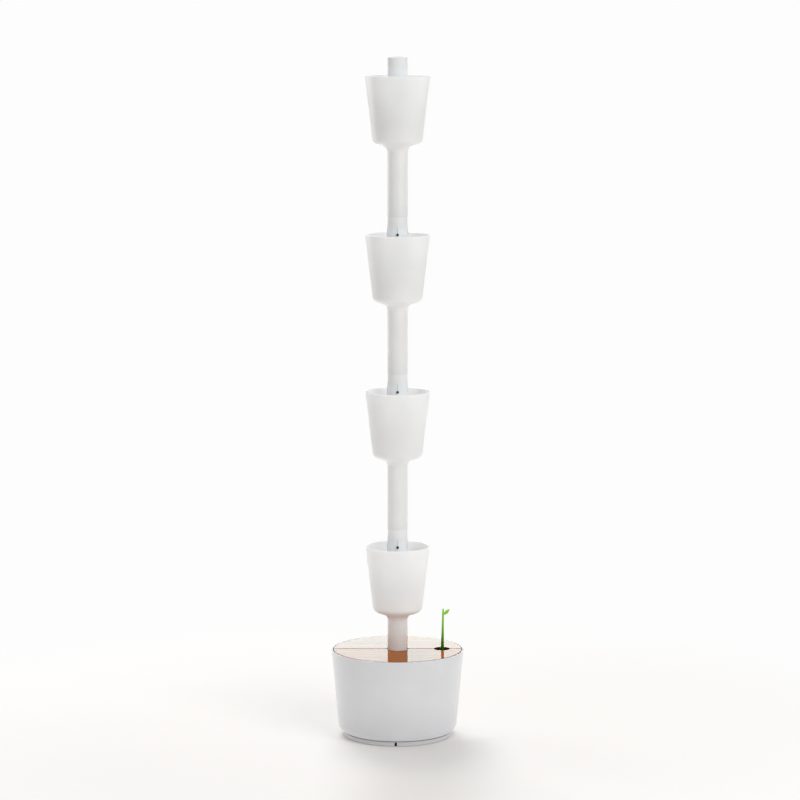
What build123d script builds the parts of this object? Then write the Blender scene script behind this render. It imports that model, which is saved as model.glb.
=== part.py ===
from build123d import *
import os
from math import atan2, cos, degrees, pi, radians, tan

# Vertical planter: a round water tank carries a stack of pots on a hollow stem, and a pump in the
# tank lifts water through the stem to a dripper in each pot. Millimetres. The origin is on the
# floor under the tank's centre, +Z is up and the front faces -Y.

# Fits
turn_clearance = 0.1          # radial, where one pot turns in the sleeve below
bearing_clearance = 0.05      # radial, round the pump's shaft
slide_clearance = 0.3         # radial, where one piece slides in another
fixed_clearance = 0.05        # radial, between pieces that stay together
overcut = 1.0                 # how far a cut runs past a face

# Stack of pots
pot_count = 4
pot_pitch = 390.0             # from rim to rim
sleeve_rise = 44.0            # sleeve above its pot's rim

# Pot
pot_rim_radius = 80.2
pot_base_radius = 61.2
pot_depth = 163.0             # rim to the corner of the cone
pot_cone_angle = 20.0
pot_wall = 2.5
pot_corner = 16.0
pot_neck = 16.0               # hollow where the cone runs into the stem
rim_round = 0.9

# Stem under each pot
stem_radius = 25.0
stem_wall = 2.5
spigot_length = 40.0
spigot_wall = 2.8
stem_ledge = 6.0              # step inside the stem above its shoulder
joint_round = 0.4
seal_section = 0.8            # radius of the ring's round section
seal_drop = 9.0               # below the stem's shoulder

# Sleeve in the middle of each pot
sleeve_wall = 1.8
seat_margin = 3.0             # flat seat past the sleeve's foot
plug_length = 12.0            # sleeve's plug in the stem
plug_wall = 2.4
rib_thickness = 2.4
rib_count = 4
rib_rise = 30.0               # rib's top above the rim
rib_rim_depth = 1.9           # rib's depth at the rim
rib_foot_depth = 4.0
rib_foot_gap = 6.0            # above the pot's seat
drain_width = 6.0
drain_height = 5.0

# Dripper in the front rib
dripper_rise = 1.0            # above the rim
top_drip_drop = 36.0          # ribs and dripper lower in the top pot, whose sleeve stands free
dripper_boss_radius = 4.5
dripper_boss_proud = 0.4      # past the rib
dripper_head_radius = 3.2
dripper_head_length = 2.2
dripper_tail_radius = 2.0
dripper_bore_radius = 0.8

# Grid under the soil
grid_lift = 15.0              # above the corner of the cone
grid_thickness = 2.5
grid_hole_radius = 3.0
grid_hole_gap = 5.0           # between holes and to the edges
grid_hub_gap = 1.5            # to the sleeve's ribs

# Riser pipe in the stem
riser_radius = 5.0
riser_wall = 1.5
riser_rise = 24.0             # pipe's top above the rim
riser_gap = 1.0               # between the ends of two pipes
bell_length = 16.0
bell_wall = 2.0
spider_height = 8.0
spider_hub_wall = 3.0
spider_arm = 2.4
spider_arms = 3

# Cap on the top sleeve
cap_edge = 0.8                # upright edge under the dome
cap_crown = 3.7               # rise of the dome
cap_round = 1.0
cap_skirt = 15.0
cap_wall = 2.0
plug_cap_depth = 8.0          # plug over the end of the top riser
plug_cap_wall = 1.6

# Foot ring
foot_height = 11.0
foot_inset = 12.5             # ring's edge inside the tank's wall
foot_width = 17.0
notch_width = 7.0             # at the floor
notch_top_width = 4.8
notch_height = 10.0
notch_x = -4.5
foot_round = 1.0
ring_screw_count = 4
ring_boss_radius = 6.0
ring_boss_height = 10.0       # above the tank's floor
ring_screw_sink = 4.0         # head's recess under the ring

# Tank
tank_height = 207.5           # foot ring to rim
tank_rim_radius = 165.5
tank_base_radius = 147.0
tank_wall = 3.0
tank_floor = 3.0
tank_corner = 22.0
ledge_width = 9.0
ledge_thickness = 4.0

# Lid of two half discs
lid_thickness = 8.0
lid_proud = 0.3               # above the tank's rim
lid_gap = 1.6                 # to the tank's wall
lid_seam = 1.0
lid_round = 0.8
stem_hole_gap = 2.0
gauge_inset = 36.0            # gauge's axis inside the tank's wall at its foot
gauge_hole_radius = 20.0

# Socket for the lowest stem
socket_height = 120.0         # above the tank's floor
flange_radius = 40.0
flange_thickness = 4.0
window_count = 4
window_gap = 1.5              # above and beside the pump's port
window_drop = 5.5             # below the pump's port
socket_screw_radius = 33.0
socket_screw_count = 4
socket_boss_radius = 5.0
socket_boss_drop = 9.0        # under the tank's floor plate's top

# Screws
screw_radius = 1.9
screw_head_radius = 3.6
screw_head_height = 2.4
screw_head_round = 1.2
screw_slot = 0.9
screw_slot_depth = 1.2
screw_end_gap = 2.0           # bottom of a blind hole past the screw

# Pump in the foot of the socket
pump_gap = 2.5                # room for water round the pump
pump_wall = 2.0
strainer_height = 10.0
strainer_plate = 2.5
strainer_slots = 8
strainer_slot_width = 5.0
strainer_slot_height = 6.0
strainer_hole_radius = 3.0
strainer_hole_circle = 9.5
pump_height = 48.0            # housing above the strainer
pump_top = 4.0
motor_radius = 13.0
motor_height = 24.0
motor_lift = 14.0             # above the strainer
rotor_radius = 5.0
rotor_room = 0.6
rotor_length = 16.0
rotor_lift = 1.5              # above the motor's open end
shaft_radius = 1.5
shaft_end = 3.0               # shaft in its upper bearing
impeller_radius = 15.0
impeller_disc = 2.0
impeller_lift = 2.5           # above the strainer
vane_height = 5.0
vane_thickness = 1.6
vane_inset = 1.0              # vanes inside the disc's edge
vane_count = 6
fin_thickness = 2.4
fin_count = 3
outlet_flange_radius = 8.0
outlet_flange = 3.0

# Float gauge shaped as a sprout
guide_bore_radius = 14.5
guide_wall = 1.5
guide_lip = 3.0
guide_mouth_radius = 6.0
guide_slot_width = 6.0
guide_slot_height = 10.0
collar_wall = 2.0
collar_height = 8.0
float_height = 40.0
float_floor_gap = 2.0         # float to tank floor when empty
float_lip_gap = 3.0           # float to guide's lip when full
gauge_travel = 90.0
float_round = 3.0
float_rod_radius = 2.5
sprout_foot_radius = 4.0
sprout_tip_radius = 1.9
sprout_rise = 102.0           # tip above the lid
sprout_round = 0.95
leaf_length = 23.0
leaf_width = 7.4
leaf_thickness = 1.8
leaf_angle = 46.0
leaf_drop = 17.0              # leaf's root below the tip

# Control unit on the tank's rear wall
control_width = 92.0
control_depth = 34.0
control_wall = 2.0
control_drop = 24.0           # cover's top below the lid
control_standoff = 16.0       # from the tank's wall at the middle
ear_width = 14.0
ear_height = 24.0
ear_thickness = 3.0
ear_inset = 1.0               # tank's posts inside the ears' edges
control_screw_depth = 12.0
corner_post = 8.0
corner_screw_depth = 10.0
seal_thickness = 1.5
cover_thickness = 3.0
board_drop = 10.0             # board's top below the box's edge
board_thickness = 1.6
board_margin = 1.0
board_ledge = 3.0
switch_size = 6.0
switch_height = 3.5
button_radius = 6.0
button_flange = 1.5
button_proud = 4.0
button_travel = 1.5
button_x = -24.0
button_gap = 0.3
button_round = 0.75
cover_round = 3.0
chip_size = 14.0
chip_height = 2.5
chip_x = 8.0
cell_radius = 7.1
cell_height = 50.0
cell_count = 4
cell_gap = 0.8                # between two cells
cell_room = 0.4               # under the board

# Lead from the control unit to the pump
lead_radius = 2.5
gland_inset = 10.0            # from the end of the control box
gland_radius = 6.0
gland_length = 12.0
lead_bend = 30.0
lead_turn_y = 62.0            # where the lead turns towards the pump
lead_sweep = 45.0
port_radius = 4.5
port_lift = 1.5               # above the strainer
port_reach = 4.5              # past the pump housing
clip_width = 10.0
clip_length = 8.0
clip_gap = 1.0                # to the socket's flange

# Places that follow from the sizes above
stem_bore = stem_radius - stem_wall
stem_drop = pot_pitch - sleeve_rise
spigot_radius = stem_bore - turn_clearance
spigot_bore = spigot_radius - spigot_wall
sleeve_radius = stem_bore + sleeve_wall
pot_taper = (pot_rim_radius - pot_base_radius) / pot_depth
cone_slope = tan(radians(pot_cone_angle))
floor_z = foot_height + tank_floor
rim_z = foot_height + tank_height
lid_top = rim_z + lid_proud
lid_bottom = lid_top - lid_thickness
lid_radius = tank_rim_radius - tank_wall - lid_gap
foot_radius = tank_base_radius - foot_inset
ring_screw_radius = foot_radius - foot_width / 2
gauge_x = tank_base_radius - gauge_inset
grid_low = -pot_depth + grid_lift
socket_top = floor_z + socket_height
first_rim = socket_top + stem_drop
pump_radius = stem_bore - pump_gap
pump_foot = floor_z + strainer_height
pump_head = pump_foot + pump_height
outlet_top = socket_top - sleeve_rise + riser_rise
motor_low = pump_foot + motor_lift
motor_high = motor_low + motor_height
rotor_low = motor_low + rotor_lift
rotor_high = rotor_low + rotor_length
float_bottom = floor_z + float_floor_gap + gauge_travel
float_top = float_bottom + float_height
guide_top = float_top + float_lip_gap + guide_lip
sprout_tip = lid_top + sprout_rise
cell_spacing = 2 * cell_radius + cell_gap
control_height = control_wall + cell_height + cell_room + board_thickness + board_drop
cover_high = lid_bottom - control_drop
cover_low = cover_high - cover_thickness
control_edge = cover_low - seal_thickness
control_floor = control_edge - control_height
board_top = control_edge - board_drop
switch_top = board_top + switch_height
lead_z = pump_foot + port_radius + port_lift
gland_x = control_width / 2 - gland_inset


def turned(points, rounds=()):
    """Solid turned about Z from a closed (radius, height) outline with some corners rounded."""
    outline = make_face(Polyline(*points, close=True))
    for corner, size in rounds:
        outline = fillet(outline.vertices().sort_by_distance((*corner, 0))[0], size)
    return revolve(Plane.XZ * outline, Axis.Z)


def rod(radius, low, high):
    """Upright cylinder between two heights."""
    return Pos(0, 0, low) * Cylinder(radius, high - low, align=(Align.CENTER, Align.CENTER, Align.MIN))


def tube(outer, inner, low, high):
    """Upright tube between two heights."""
    return rod(outer, low, high) - rod(inner, low, high)


def block(low, high):
    """Box between two corners."""
    size = [b - a for a, b in zip(low, high)]
    return Pos(*low) * Box(*size, align=(Align.MIN, Align.MIN, Align.MIN))


def around(count, start=0.0):
    """Turns about Z that share out a full circle."""
    return [Rot(0, 0, start + 360.0 * i / count) for i in range(count)]


def group(solids):
    """Several solids in one node."""
    return Compound(children=list(solids))


def cone_inside(radius):
    """Height of the pot's inner cone at a radius, from the rim."""
    outer = -pot_depth - (pot_base_radius - radius) * cone_slope
    return outer + pot_wall / cos(radians(pot_cone_angle))


def pot_inside(height):
    """Radius of the pot's inner wall at a height, from the rim."""
    return pot_rim_radius - pot_wall + pot_taper * height


def tank_outside(height):
    """Radius of the tank's outer wall at a height above the floor."""
    return tank_base_radius + (tank_rim_radius - tank_base_radius) * (height - foot_height) / tank_height


# Places that need those helpers
seat = cone_inside(sleeve_radius + seat_margin)
dripper_face = sleeve_radius + rib_rim_depth + dripper_boss_proud
control_back = tank_outside(control_floor) - tank_wall - control_standoff
control_middle = control_back - control_depth / 2
post_middle = control_width / 2 - corner_post / 2
post_reach = control_depth / 2 - corner_post / 2
ear_x = control_width / 2 + ear_width / 2
ear_z = control_floor + control_height / 2


def spoke(radius, near, far, height):
    """Cylinder that points to the front between two distances from the axis."""
    return Pos(0, 0, height) * Rot(90, 0, 0) * rod(radius, near, far)


def screw(length):
    """Slotted pan-head screw, its head standing on z = 0 and its shank below."""
    head = rod(screw_head_radius, 0, screw_head_height)
    head = fillet(head.faces().sort_by(Axis.Z)[-1].edges(), screw_head_round)
    slot_low = screw_head_height - screw_slot_depth
    reach = screw_head_radius + overcut
    slot_high = screw_head_height + overcut
    slot = block((-reach, -screw_slot / 2, slot_low), (reach, screw_slot / 2, slot_high))
    return head + rod(screw_radius, -length, 0) - slot


def pot_shell():
    """Bowl, cone, stem and spigot of one pot, from its rim down."""
    neck = (stem_radius, -pot_depth - (pot_base_radius - stem_radius) * cone_slope)
    corner_z = cone_inside(pot_rim_radius - pot_wall) / (1 - cone_slope * pot_taper)
    inner_corner = (pot_inside(corner_z), corner_z)
    groove_half = seal_section + fixed_clearance
    groove_floor = spigot_radius - 2 * seal_section - fixed_clearance
    groove_middle = -stem_drop - seal_drop
    end = -stem_drop - spigot_length
    ledge = -stem_drop + stem_ledge
    points = [
        (pot_rim_radius, 0),
        (pot_base_radius, -pot_depth),
        neck,
        (stem_radius, -stem_drop),
        (spigot_radius, -stem_drop),
        (spigot_radius, groove_middle + groove_half),
        (groove_floor, groove_middle + groove_half),
        (groove_floor, groove_middle - groove_half),
        (spigot_radius, groove_middle - groove_half),
        (spigot_radius, end),
        (spigot_bore, end),
        (spigot_bore, ledge),
        (stem_bore, ledge),
        (stem_bore, seat),
        (sleeve_radius + seat_margin, seat),
        inner_corner,
        (pot_rim_radius - pot_wall, 0),
    ]
    rounds = [
        ((pot_base_radius, -pot_depth), pot_corner),
        (inner_corner, pot_corner - pot_wall),
        (neck, pot_neck),
        ((stem_radius, -stem_drop), joint_round),
        ((pot_rim_radius, 0), rim_round),
        ((pot_rim_radius - pot_wall, 0), rim_round),
    ]
    return turned(points, rounds)


def stem_seal():
    """Rubber ring in the spigot's groove."""
    return Pos(0, 0, -stem_drop - seal_drop) * Torus(spigot_radius - seal_section, seal_section)


def drip_sleeve(drop):
    """Upright sleeve in the middle of a pot, with ribs, drains, a plug and a drop of its ribs."""
    plug = stem_bore - fixed_clearance
    step = seat + drain_height
    points = [
        (sleeve_radius, sleeve_rise),
        (sleeve_radius, seat),
        (plug, seat),
        (plug, seat - plug_length),
        (plug - plug_wall, seat - plug_length),
        (plug - plug_wall, step),
        (stem_bore, step + plug_wall),
        (stem_bore, sleeve_rise),
    ]
    sleeve = turned(points, [((sleeve_radius, sleeve_rise), joint_round)])
    root = sleeve_radius - sleeve_wall / 2
    rib_low = seat + rib_foot_gap
    rib_outline = make_face(Polyline(
        (root, rib_rise - drop),
        (sleeve_radius, rib_rise - drop),
        (sleeve_radius + rib_rim_depth, -drop),
        (sleeve_radius + rib_foot_depth, rib_low),
        (root, rib_low),
        close=True,
    ))
    rib = extrude(Plane.XZ * rib_outline, rib_thickness / 2, both=True)
    for turn in around(rib_count, -90):
        sleeve += turn * rib
    drip_z = dripper_rise - drop
    sleeve += spoke(dripper_boss_radius, root, dripper_face, drip_z)
    bore = dripper_tail_radius + fixed_clearance
    sleeve -= spoke(bore, stem_bore / 2, dripper_face + overcut, drip_z)
    drain = block((stem_bore / 2, -drain_width / 2, seat), (dripper_face, drain_width / 2, step))
    for turn in around(rib_count, -45):
        sleeve -= turn * drain
    return sleeve


def dripper(drop):
    """Black emitter: its head shows on the front rib and its tail reaches the riser."""
    tail_end = riser_radius - riser_wall / 2
    head_end = dripper_face + dripper_head_length
    drip_z = dripper_rise - drop
    head = spoke(dripper_head_radius, dripper_face, head_end, drip_z)
    tail = spoke(dripper_tail_radius, tail_end, dripper_face, drip_z)
    return head + tail - spoke(dripper_bore_radius, 0, head_end + overcut, drip_z)


def soil_grid():
    """Holed plate that keeps the soil above the pot's drained foot."""
    outer = pot_inside(grid_low) - slide_clearance
    grid_high = grid_low + grid_thickness
    inner = sleeve_radius + rib_foot_depth + grid_hub_gap
    plate = tube(outer, inner, grid_low, grid_high)
    pitch = 2 * grid_hole_radius + grid_hole_gap
    row = inner + grid_hole_gap + grid_hole_radius
    hole = rod(grid_hole_radius, grid_low - overcut, grid_high + overcut)
    while row + grid_hole_radius < outer - grid_hole_gap / 2:
        for turn in around(int(2 * pi * row / pitch)):
            plate -= turn * Pos(row, 0, 0) * hole
        row += pitch
    return plate


def riser_pipe(drop):
    """Water pipe in the middle of a stem, with a bell over the pipe below."""
    bore = riser_radius - riser_wall
    low = riser_rise - pot_pitch + riser_gap
    bell_bore = riser_radius + turn_clearance
    bell = bell_bore + bell_wall
    points = [
        (bore, riser_rise),
        (riser_radius, riser_rise),
        (riser_radius, low + 2 * bell_wall),
        (bell, low + bell_wall),
        (bell, low - bell_length),
        (bell_bore, low - bell_length),
        (bell_bore, low),
        (bore, low),
    ]
    tap_radius = dripper_tail_radius + fixed_clearance
    tap = spoke(tap_radius, 0, riser_radius + overcut, dripper_rise - drop)
    return turned(points) - tap


def riser_spider():
    """Three-armed holder that keeps the riser in the middle of the stem."""
    low = -stem_drop + stem_ledge
    high = low + spider_height
    rim = stem_bore - fixed_clearance
    bore = riser_radius + fixed_clearance
    hub = bore + spider_hub_wall
    spider = tube(rim, rim - spider_arm, low, high) + tube(hub, bore, low, high)
    near = bore + spider_hub_wall / 2
    arm = block((near, -spider_arm / 2, low), (rim - spider_arm / 2, spider_arm / 2, high))
    for turn in around(spider_arms, 90):
        spider += turn * arm
    return spider


def riser_plug():
    """Plug over the end of the top pipe."""
    bore = riser_radius + fixed_clearance
    low = riser_rise - plug_cap_depth
    return rod(bore + plug_cap_wall, low, riser_rise + plug_cap_wall) - rod(bore, low, riser_rise)


def top_cap():
    """Domed cap that closes the top sleeve."""
    shoulder = sleeve_rise + cap_edge
    top = shoulder + cap_crown
    dome_radius = (sleeve_radius ** 2 + cap_crown ** 2) / (2 * cap_crown)
    head = rod(sleeve_radius, sleeve_rise, top) & Pos(0, 0, top - dome_radius) * Sphere(dome_radius)
    edge = head.faces().filter_by(GeomType.CYLINDER)[0]
    head = fillet(edge.edges().sort_by(Axis.Z)[-1], cap_round)
    skirt = stem_bore - turn_clearance
    return head + tube(skirt, skirt - cap_wall, sleeve_rise - cap_skirt, sleeve_rise)


def at_ring_screws(piece):
    """Copies of a piece at the foot ring's screws."""
    return [turn * Pos(ring_screw_radius, 0, 0) * piece for turn in around(ring_screw_count, 45)]


def at_socket_screws(piece):
    """Copies of a piece at the socket's screws."""
    return [turn * Pos(socket_screw_radius, 0, 0) * piece for turn in around(socket_screw_count, 45)]


def at_ears(piece):
    """Copies of a piece at the control box's two ears, on the ears' front faces."""
    front = control_back - ear_thickness
    return [Pos(side * ear_x, front, ear_z) * Rot(90, 0, 0) * piece for side in (-1, 1)]


def at_posts(piece):
    """Copies of a piece at the control box's four corner posts."""
    return [
        Pos(x * post_middle, control_middle + y * post_reach, 0) * piece
        for x in (-1, 1)
        for y in (-1, 1)
    ]


def foot_ring():
    """Ring that lifts the tank off the floor, with a notch at the front."""
    inner = foot_radius - foot_width
    points = [(inner, 0), (foot_radius, 0), (foot_radius, foot_height), (inner, foot_height)]
    ring = turned(points, [((foot_radius, 0), foot_round), ((foot_radius, foot_height), foot_round)])
    notch = make_face(Polyline(
        (notch_x - notch_width / 2, 0),
        (notch_x + notch_width / 2, 0),
        (notch_x + notch_top_width / 2, notch_height),
        (notch_x - notch_top_width / 2, notch_height),
        close=True,
    ))
    ring -= extrude(Plane.XZ * notch, foot_radius + overcut)
    hole = rod(screw_radius + fixed_clearance, 0, foot_height)
    sink = rod(screw_head_radius + slide_clearance, 0, ring_screw_sink)
    for cut in at_ring_screws(hole + sink):
        ring -= cut
    return ring


def ring_screw_length():
    """Length of a shank that ends short of its blind hole."""
    return floor_z + ring_boss_height - ring_screw_sink - 2 * screw_end_gap


def ring_screws():
    """Screws that hold the foot ring from below."""
    upright = Pos(0, 0, ring_screw_sink) * Rot(180, 0, 0) * screw(ring_screw_length())
    return group(at_ring_screws(upright))


def tank_outline(inset):
    """Corners of the tank's outer wall, or of its inner wall at an inset."""
    low = foot_height if inset == 0 else floor_z
    return (tank_outside(low) - inset, low), (tank_rim_radius - inset, rim_z)


def tank():
    """Water tank with the lid's ledge, the screw bosses, the gauge's collar and the control unit's posts."""
    corner, rim = tank_outline(0)
    inner_corner, inner_rim = tank_outline(tank_wall)
    pocket = tank_outside(lid_bottom) - tank_wall
    ledge = tank_rim_radius - tank_wall - ledge_width
    ledge_low = lid_bottom - ledge_thickness
    brace_low = ledge_low - ledge_width
    points = [
        (0, foot_height),
        corner,
        rim,
        inner_rim,
        (pocket, lid_bottom),
        (ledge, lid_bottom),
        (ledge, ledge_low),
        (tank_outside(brace_low) - tank_wall, brace_low),
        inner_corner,
        (0, floor_z),
    ]
    rounds = [
        (corner, tank_corner),
        (inner_corner, tank_corner - tank_wall),
        (rim, rim_round),
        (inner_rim, rim_round),
    ]
    shell = turned(points, rounds)
    solid = turned([(0, foot_height), corner, rim, (0, rim_z)], [(corner, tank_corner)])
    ring_boss = rod(ring_boss_radius, floor_z - tank_floor / 2, floor_z + ring_boss_height)
    for boss in at_ring_screws(ring_boss):
        shell += boss
    blind = rod(screw_radius + fixed_clearance, 0, floor_z + ring_boss_height - screw_end_gap)
    for cut in at_ring_screws(blind):
        shell -= cut
    socket_boss = rod(socket_boss_radius, floor_z - socket_boss_drop, floor_z)
    for boss in at_socket_screws(socket_boss):
        shell += boss
    pilot_low = floor_z - socket_boss_drop + screw_end_gap / 2
    for cut in at_socket_screws(rod(screw_radius + fixed_clearance, pilot_low, floor_z + overcut)):
        shell -= cut
    collar_bore = guide_bore_radius + guide_wall + fixed_clearance
    collar = tube(collar_bore + collar_wall, collar_bore, floor_z - tank_floor / 2, floor_z + collar_height)
    shell += Pos(gauge_x, 0, 0) * collar
    post_half = ear_width / 2 - ear_inset
    for side in (-1, 1):
        post = block(
            (side * ear_x - post_half, control_back, ear_z - ear_height / 2),
            (side * ear_x + post_half, tank_rim_radius, ear_z + ear_height / 2),
        )
        shell += post & solid
    pilot = rod(screw_radius + fixed_clearance, -ear_thickness - control_screw_depth, -ear_thickness)
    for cut in at_ears(pilot):
        shell -= cut
    return shell


def base_socket():
    """Tube on the tank's floor that holds the lowest stem and houses the pump."""
    socket = tube(sleeve_radius, stem_bore, floor_z, socket_top)
    socket += tube(flange_radius, stem_bore, floor_z, floor_z + flange_thickness)
    window_half = port_radius + window_gap
    window = block(
        (0, -window_half, lead_z - port_radius - window_drop),
        (sleeve_radius + overcut, window_half, lead_z + window_half),
    )
    for turn in around(window_count):
        socket -= turn * window
    for cut in at_socket_screws(rod(screw_radius + fixed_clearance, floor_z, floor_z + flange_thickness)):
        socket -= cut
    return socket


def socket_screws():
    """Screws through the socket's flange."""
    length = flange_thickness + socket_boss_drop - screw_end_gap
    return group(at_socket_screws(Pos(0, 0, floor_z + flange_thickness) * screw(length)))


def pump_strainer():
    """Slotted foot of the pump, with the shaft's lower bearing."""
    inner = pump_radius - pump_wall
    plate_low = pump_foot - strainer_plate
    strainer = tube(pump_radius, inner, floor_z, pump_foot) + rod(inner + pump_wall / 2, plate_low, pump_foot)
    slot = block(
        (inner - overcut, -strainer_slot_width / 2, floor_z),
        (pump_radius + overcut, strainer_slot_width / 2, floor_z + strainer_slot_height),
    )
    low = plate_low - overcut
    high = pump_foot + overcut
    hole = Pos(strainer_hole_circle, 0, 0) * rod(strainer_hole_radius, low, high)
    for turn in around(strainer_slots):
        strainer -= turn * slot
        strainer -= turn * hole
    return strainer - rod(shaft_radius + bearing_clearance, low, high)


def pump_housing():
    """Pump casing with three fins round the motor and a port for its lead."""
    inner = pump_radius - pump_wall
    housing = tube(pump_radius, inner, pump_foot, pump_head)
    housing += rod(pump_radius, pump_head - pump_top, pump_head)
    fin = block(
        (motor_radius + fixed_clearance, -fin_thickness / 2, motor_low),
        (inner + pump_wall / 2, fin_thickness / 2, pump_head - pump_top / 2),
    )
    for turn in around(fin_count, -90):
        housing += turn * fin
    port = Rot(0, 0, 180) * spoke(port_radius, inner, pump_radius + port_reach, lead_z)
    housing += port - rod(inner, 0, pump_head)
    hole_low = pump_head - pump_top - overcut
    return housing - rod(riser_radius + fixed_clearance, hole_low, pump_head + overcut)


def pump_motor():
    """Sealed motor can, open below for the rotor."""
    motor = rod(motor_radius, motor_low, motor_high)
    motor -= rod(rotor_radius + rotor_room, motor_low, rotor_high + rotor_room)
    return motor - rod(shaft_radius + bearing_clearance, motor_low, rotor_high + rotor_room + shaft_end)


def pump_impeller():
    """Shaft with its rotor and its vaned disc."""
    vane_low = pump_foot + impeller_lift
    disc_low = vane_low + vane_height
    impeller = rod(shaft_radius, pump_foot - strainer_plate, rotor_high + rotor_room / 2 + shaft_end)
    impeller += rod(rotor_radius, rotor_low, rotor_high)
    impeller += rod(impeller_radius, disc_low, disc_low + impeller_disc)
    vane_end = impeller_radius - vane_inset
    vane = block((0, -vane_thickness / 2, vane_low), (vane_end, vane_thickness / 2, disc_low))
    for turn in around(vane_count):
        impeller += turn * vane
    return impeller


def pump_outlet():
    """Nozzle on the pump that the lowest riser's bell slips over."""
    bore = riser_radius - riser_wall
    nozzle = tube(riser_radius, bore, pump_head - pump_top, outlet_top)
    return nozzle + tube(outlet_flange_radius, bore, pump_head, pump_head + outlet_flange)


def lid_half(side):
    """Half disc of the lid: side -1 is the front half and 1 the rear."""
    half = rod(lid_radius, lid_bottom, lid_top)
    reach = lid_radius + overcut
    near, far = sorted((side * lid_seam / 2, side * reach))
    half &= block((-reach, near, lid_bottom), (reach, far, lid_top))
    half -= rod(stem_radius + stem_hole_gap, lid_bottom, lid_top)
    half -= Pos(gauge_x, 0, 0) * rod(gauge_hole_radius, lid_bottom, lid_top)
    return fillet(half.faces().sort_by(Axis.Z)[-1].edges(), lid_round)


def gauge_guide():
    """Tube that the gauge's float rises in."""
    outer = guide_bore_radius + guide_wall
    guide = tube(outer, guide_bore_radius, floor_z, guide_top)
    guide += tube(outer, guide_mouth_radius, guide_top - guide_lip, guide_top)
    slot = block(
        (0, -guide_slot_width / 2, floor_z + collar_height),
        (outer + overcut, guide_slot_width / 2, floor_z + collar_height + guide_slot_height),
    )
    for turn in around(2, 90):
        guide -= turn * slot
    return Pos(gauge_x, 0, 0) * guide


def gauge_float():
    """Float that carries the sprout up as the tank fills."""
    radius = guide_bore_radius - slide_clearance
    hole = float_rod_radius + fixed_clearance
    points = [(hole, float_bottom), (radius, float_bottom), (radius, float_top), (hole, float_top)]
    rounds = [((radius, float_bottom), float_round), ((radius, float_top), float_round)]
    return Pos(gauge_x, 0, 0) * turned(points, rounds)


def gauge_stem():
    """Rod through the float that thins towards the sprout's tip."""
    points = [
        (0, float_bottom),
        (float_rod_radius, float_bottom),
        (float_rod_radius, float_top),
        (sprout_foot_radius, float_top),
        (sprout_foot_radius, lid_top),
        (sprout_tip_radius, sprout_tip),
        (0, sprout_tip),
    ]
    return Pos(gauge_x, 0, 0) * turned(points, [((sprout_tip_radius, sprout_tip), sprout_round)])


def gauge_leaf():
    """One leaf that leans out from the sprout's stem."""
    half = leaf_width / 2
    middle = leaf_length / 2
    outline = make_face([
        ThreePointArc((0, 0), (middle, half), (leaf_length, 0)),
        ThreePointArc((leaf_length, 0), (middle, -half), (0, 0)),
    ])
    leaf = extrude(Plane.XZ * outline, leaf_thickness / 2, both=True)
    leaf = Pos(gauge_x, 0, sprout_tip - leaf_drop) * Rot(0, -leaf_angle, 0) * leaf
    return leaf - gauge_stem()


def control_frame(low, high):
    """The control box's walls and corner posts between two heights."""
    near = control_back - control_depth
    half = control_width / 2
    frame = block((-half, near, low), (half, control_back, high))
    frame -= block(
        (-half + control_wall, near + control_wall, low),
        (half - control_wall, control_back - control_wall, high),
    )
    post = block((-corner_post / 2, -corner_post / 2, low), (corner_post / 2, corner_post / 2, high))
    for solid in at_posts(post):
        frame += solid
    return frame


def control_box():
    """Open box with ears, corner posts and a ledge at each end for the board."""
    near = control_back - control_depth
    half = control_width / 2
    box = control_frame(control_floor, control_edge)
    box += block((-half, near, control_floor), (half, control_back, control_floor + control_wall))
    for side in (-1, 1):
        box += block(
            (side * ear_x - ear_width / 2, control_back - ear_thickness, ear_z - ear_height / 2),
            (side * ear_x + ear_width / 2, control_back, ear_z + ear_height / 2),
        )
        ledge_x = side * (half - control_wall - board_ledge / 2)
        ledge_top = control_edge - board_drop - board_thickness
        reach = board_ledge / 2 + control_wall / 2
        box += block(
            (ledge_x - reach, near + control_wall / 2, ledge_top - board_ledge),
            (ledge_x + reach, control_back - control_wall / 2, ledge_top),
        )
    hole = rod(screw_radius + fixed_clearance, control_edge - corner_screw_depth, control_edge)
    for cut in at_posts(hole):
        box -= cut
    for cut in at_ears(rod(screw_radius + fixed_clearance, -ear_thickness, 0)):
        box -= cut
    neck_radius = gland_radius - control_wall + fixed_clearance
    neck = rod(neck_radius, control_floor, control_floor + control_wall)
    return box - Pos(gland_x, control_middle, 0) * neck


def box_screws():
    """Screws through the control box's ears."""
    return group(at_ears(screw(ear_thickness + control_screw_depth - screw_end_gap)))


def control_seal():
    """Flat gasket under the control unit's cover."""
    seal = control_frame(control_edge, control_edge + seal_thickness)
    for cut in at_posts(rod(screw_radius + fixed_clearance, control_edge, control_edge + seal_thickness)):
        seal -= cut
    return seal


def control_cover():
    """Cover of the control unit, with the button's hole."""
    half = control_width / 2
    cover = block((-half, control_back - control_depth, cover_low), (half, control_back, cover_high))
    cover = fillet(cover.edges().filter_by(Axis.Z), cover_round)
    for cut in at_posts(rod(screw_radius + fixed_clearance, cover_low, cover_high)):
        cover -= cut
    hole = rod(button_radius + slide_clearance, cover_low, cover_high)
    return cover - Pos(button_x, control_middle, 0) * hole


def cover_screws():
    """Screws through the cover into the corner posts."""
    length = cover_thickness + seal_thickness + corner_screw_depth - screw_end_gap
    return group(at_posts(Pos(0, 0, cover_high) * screw(length)))


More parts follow.
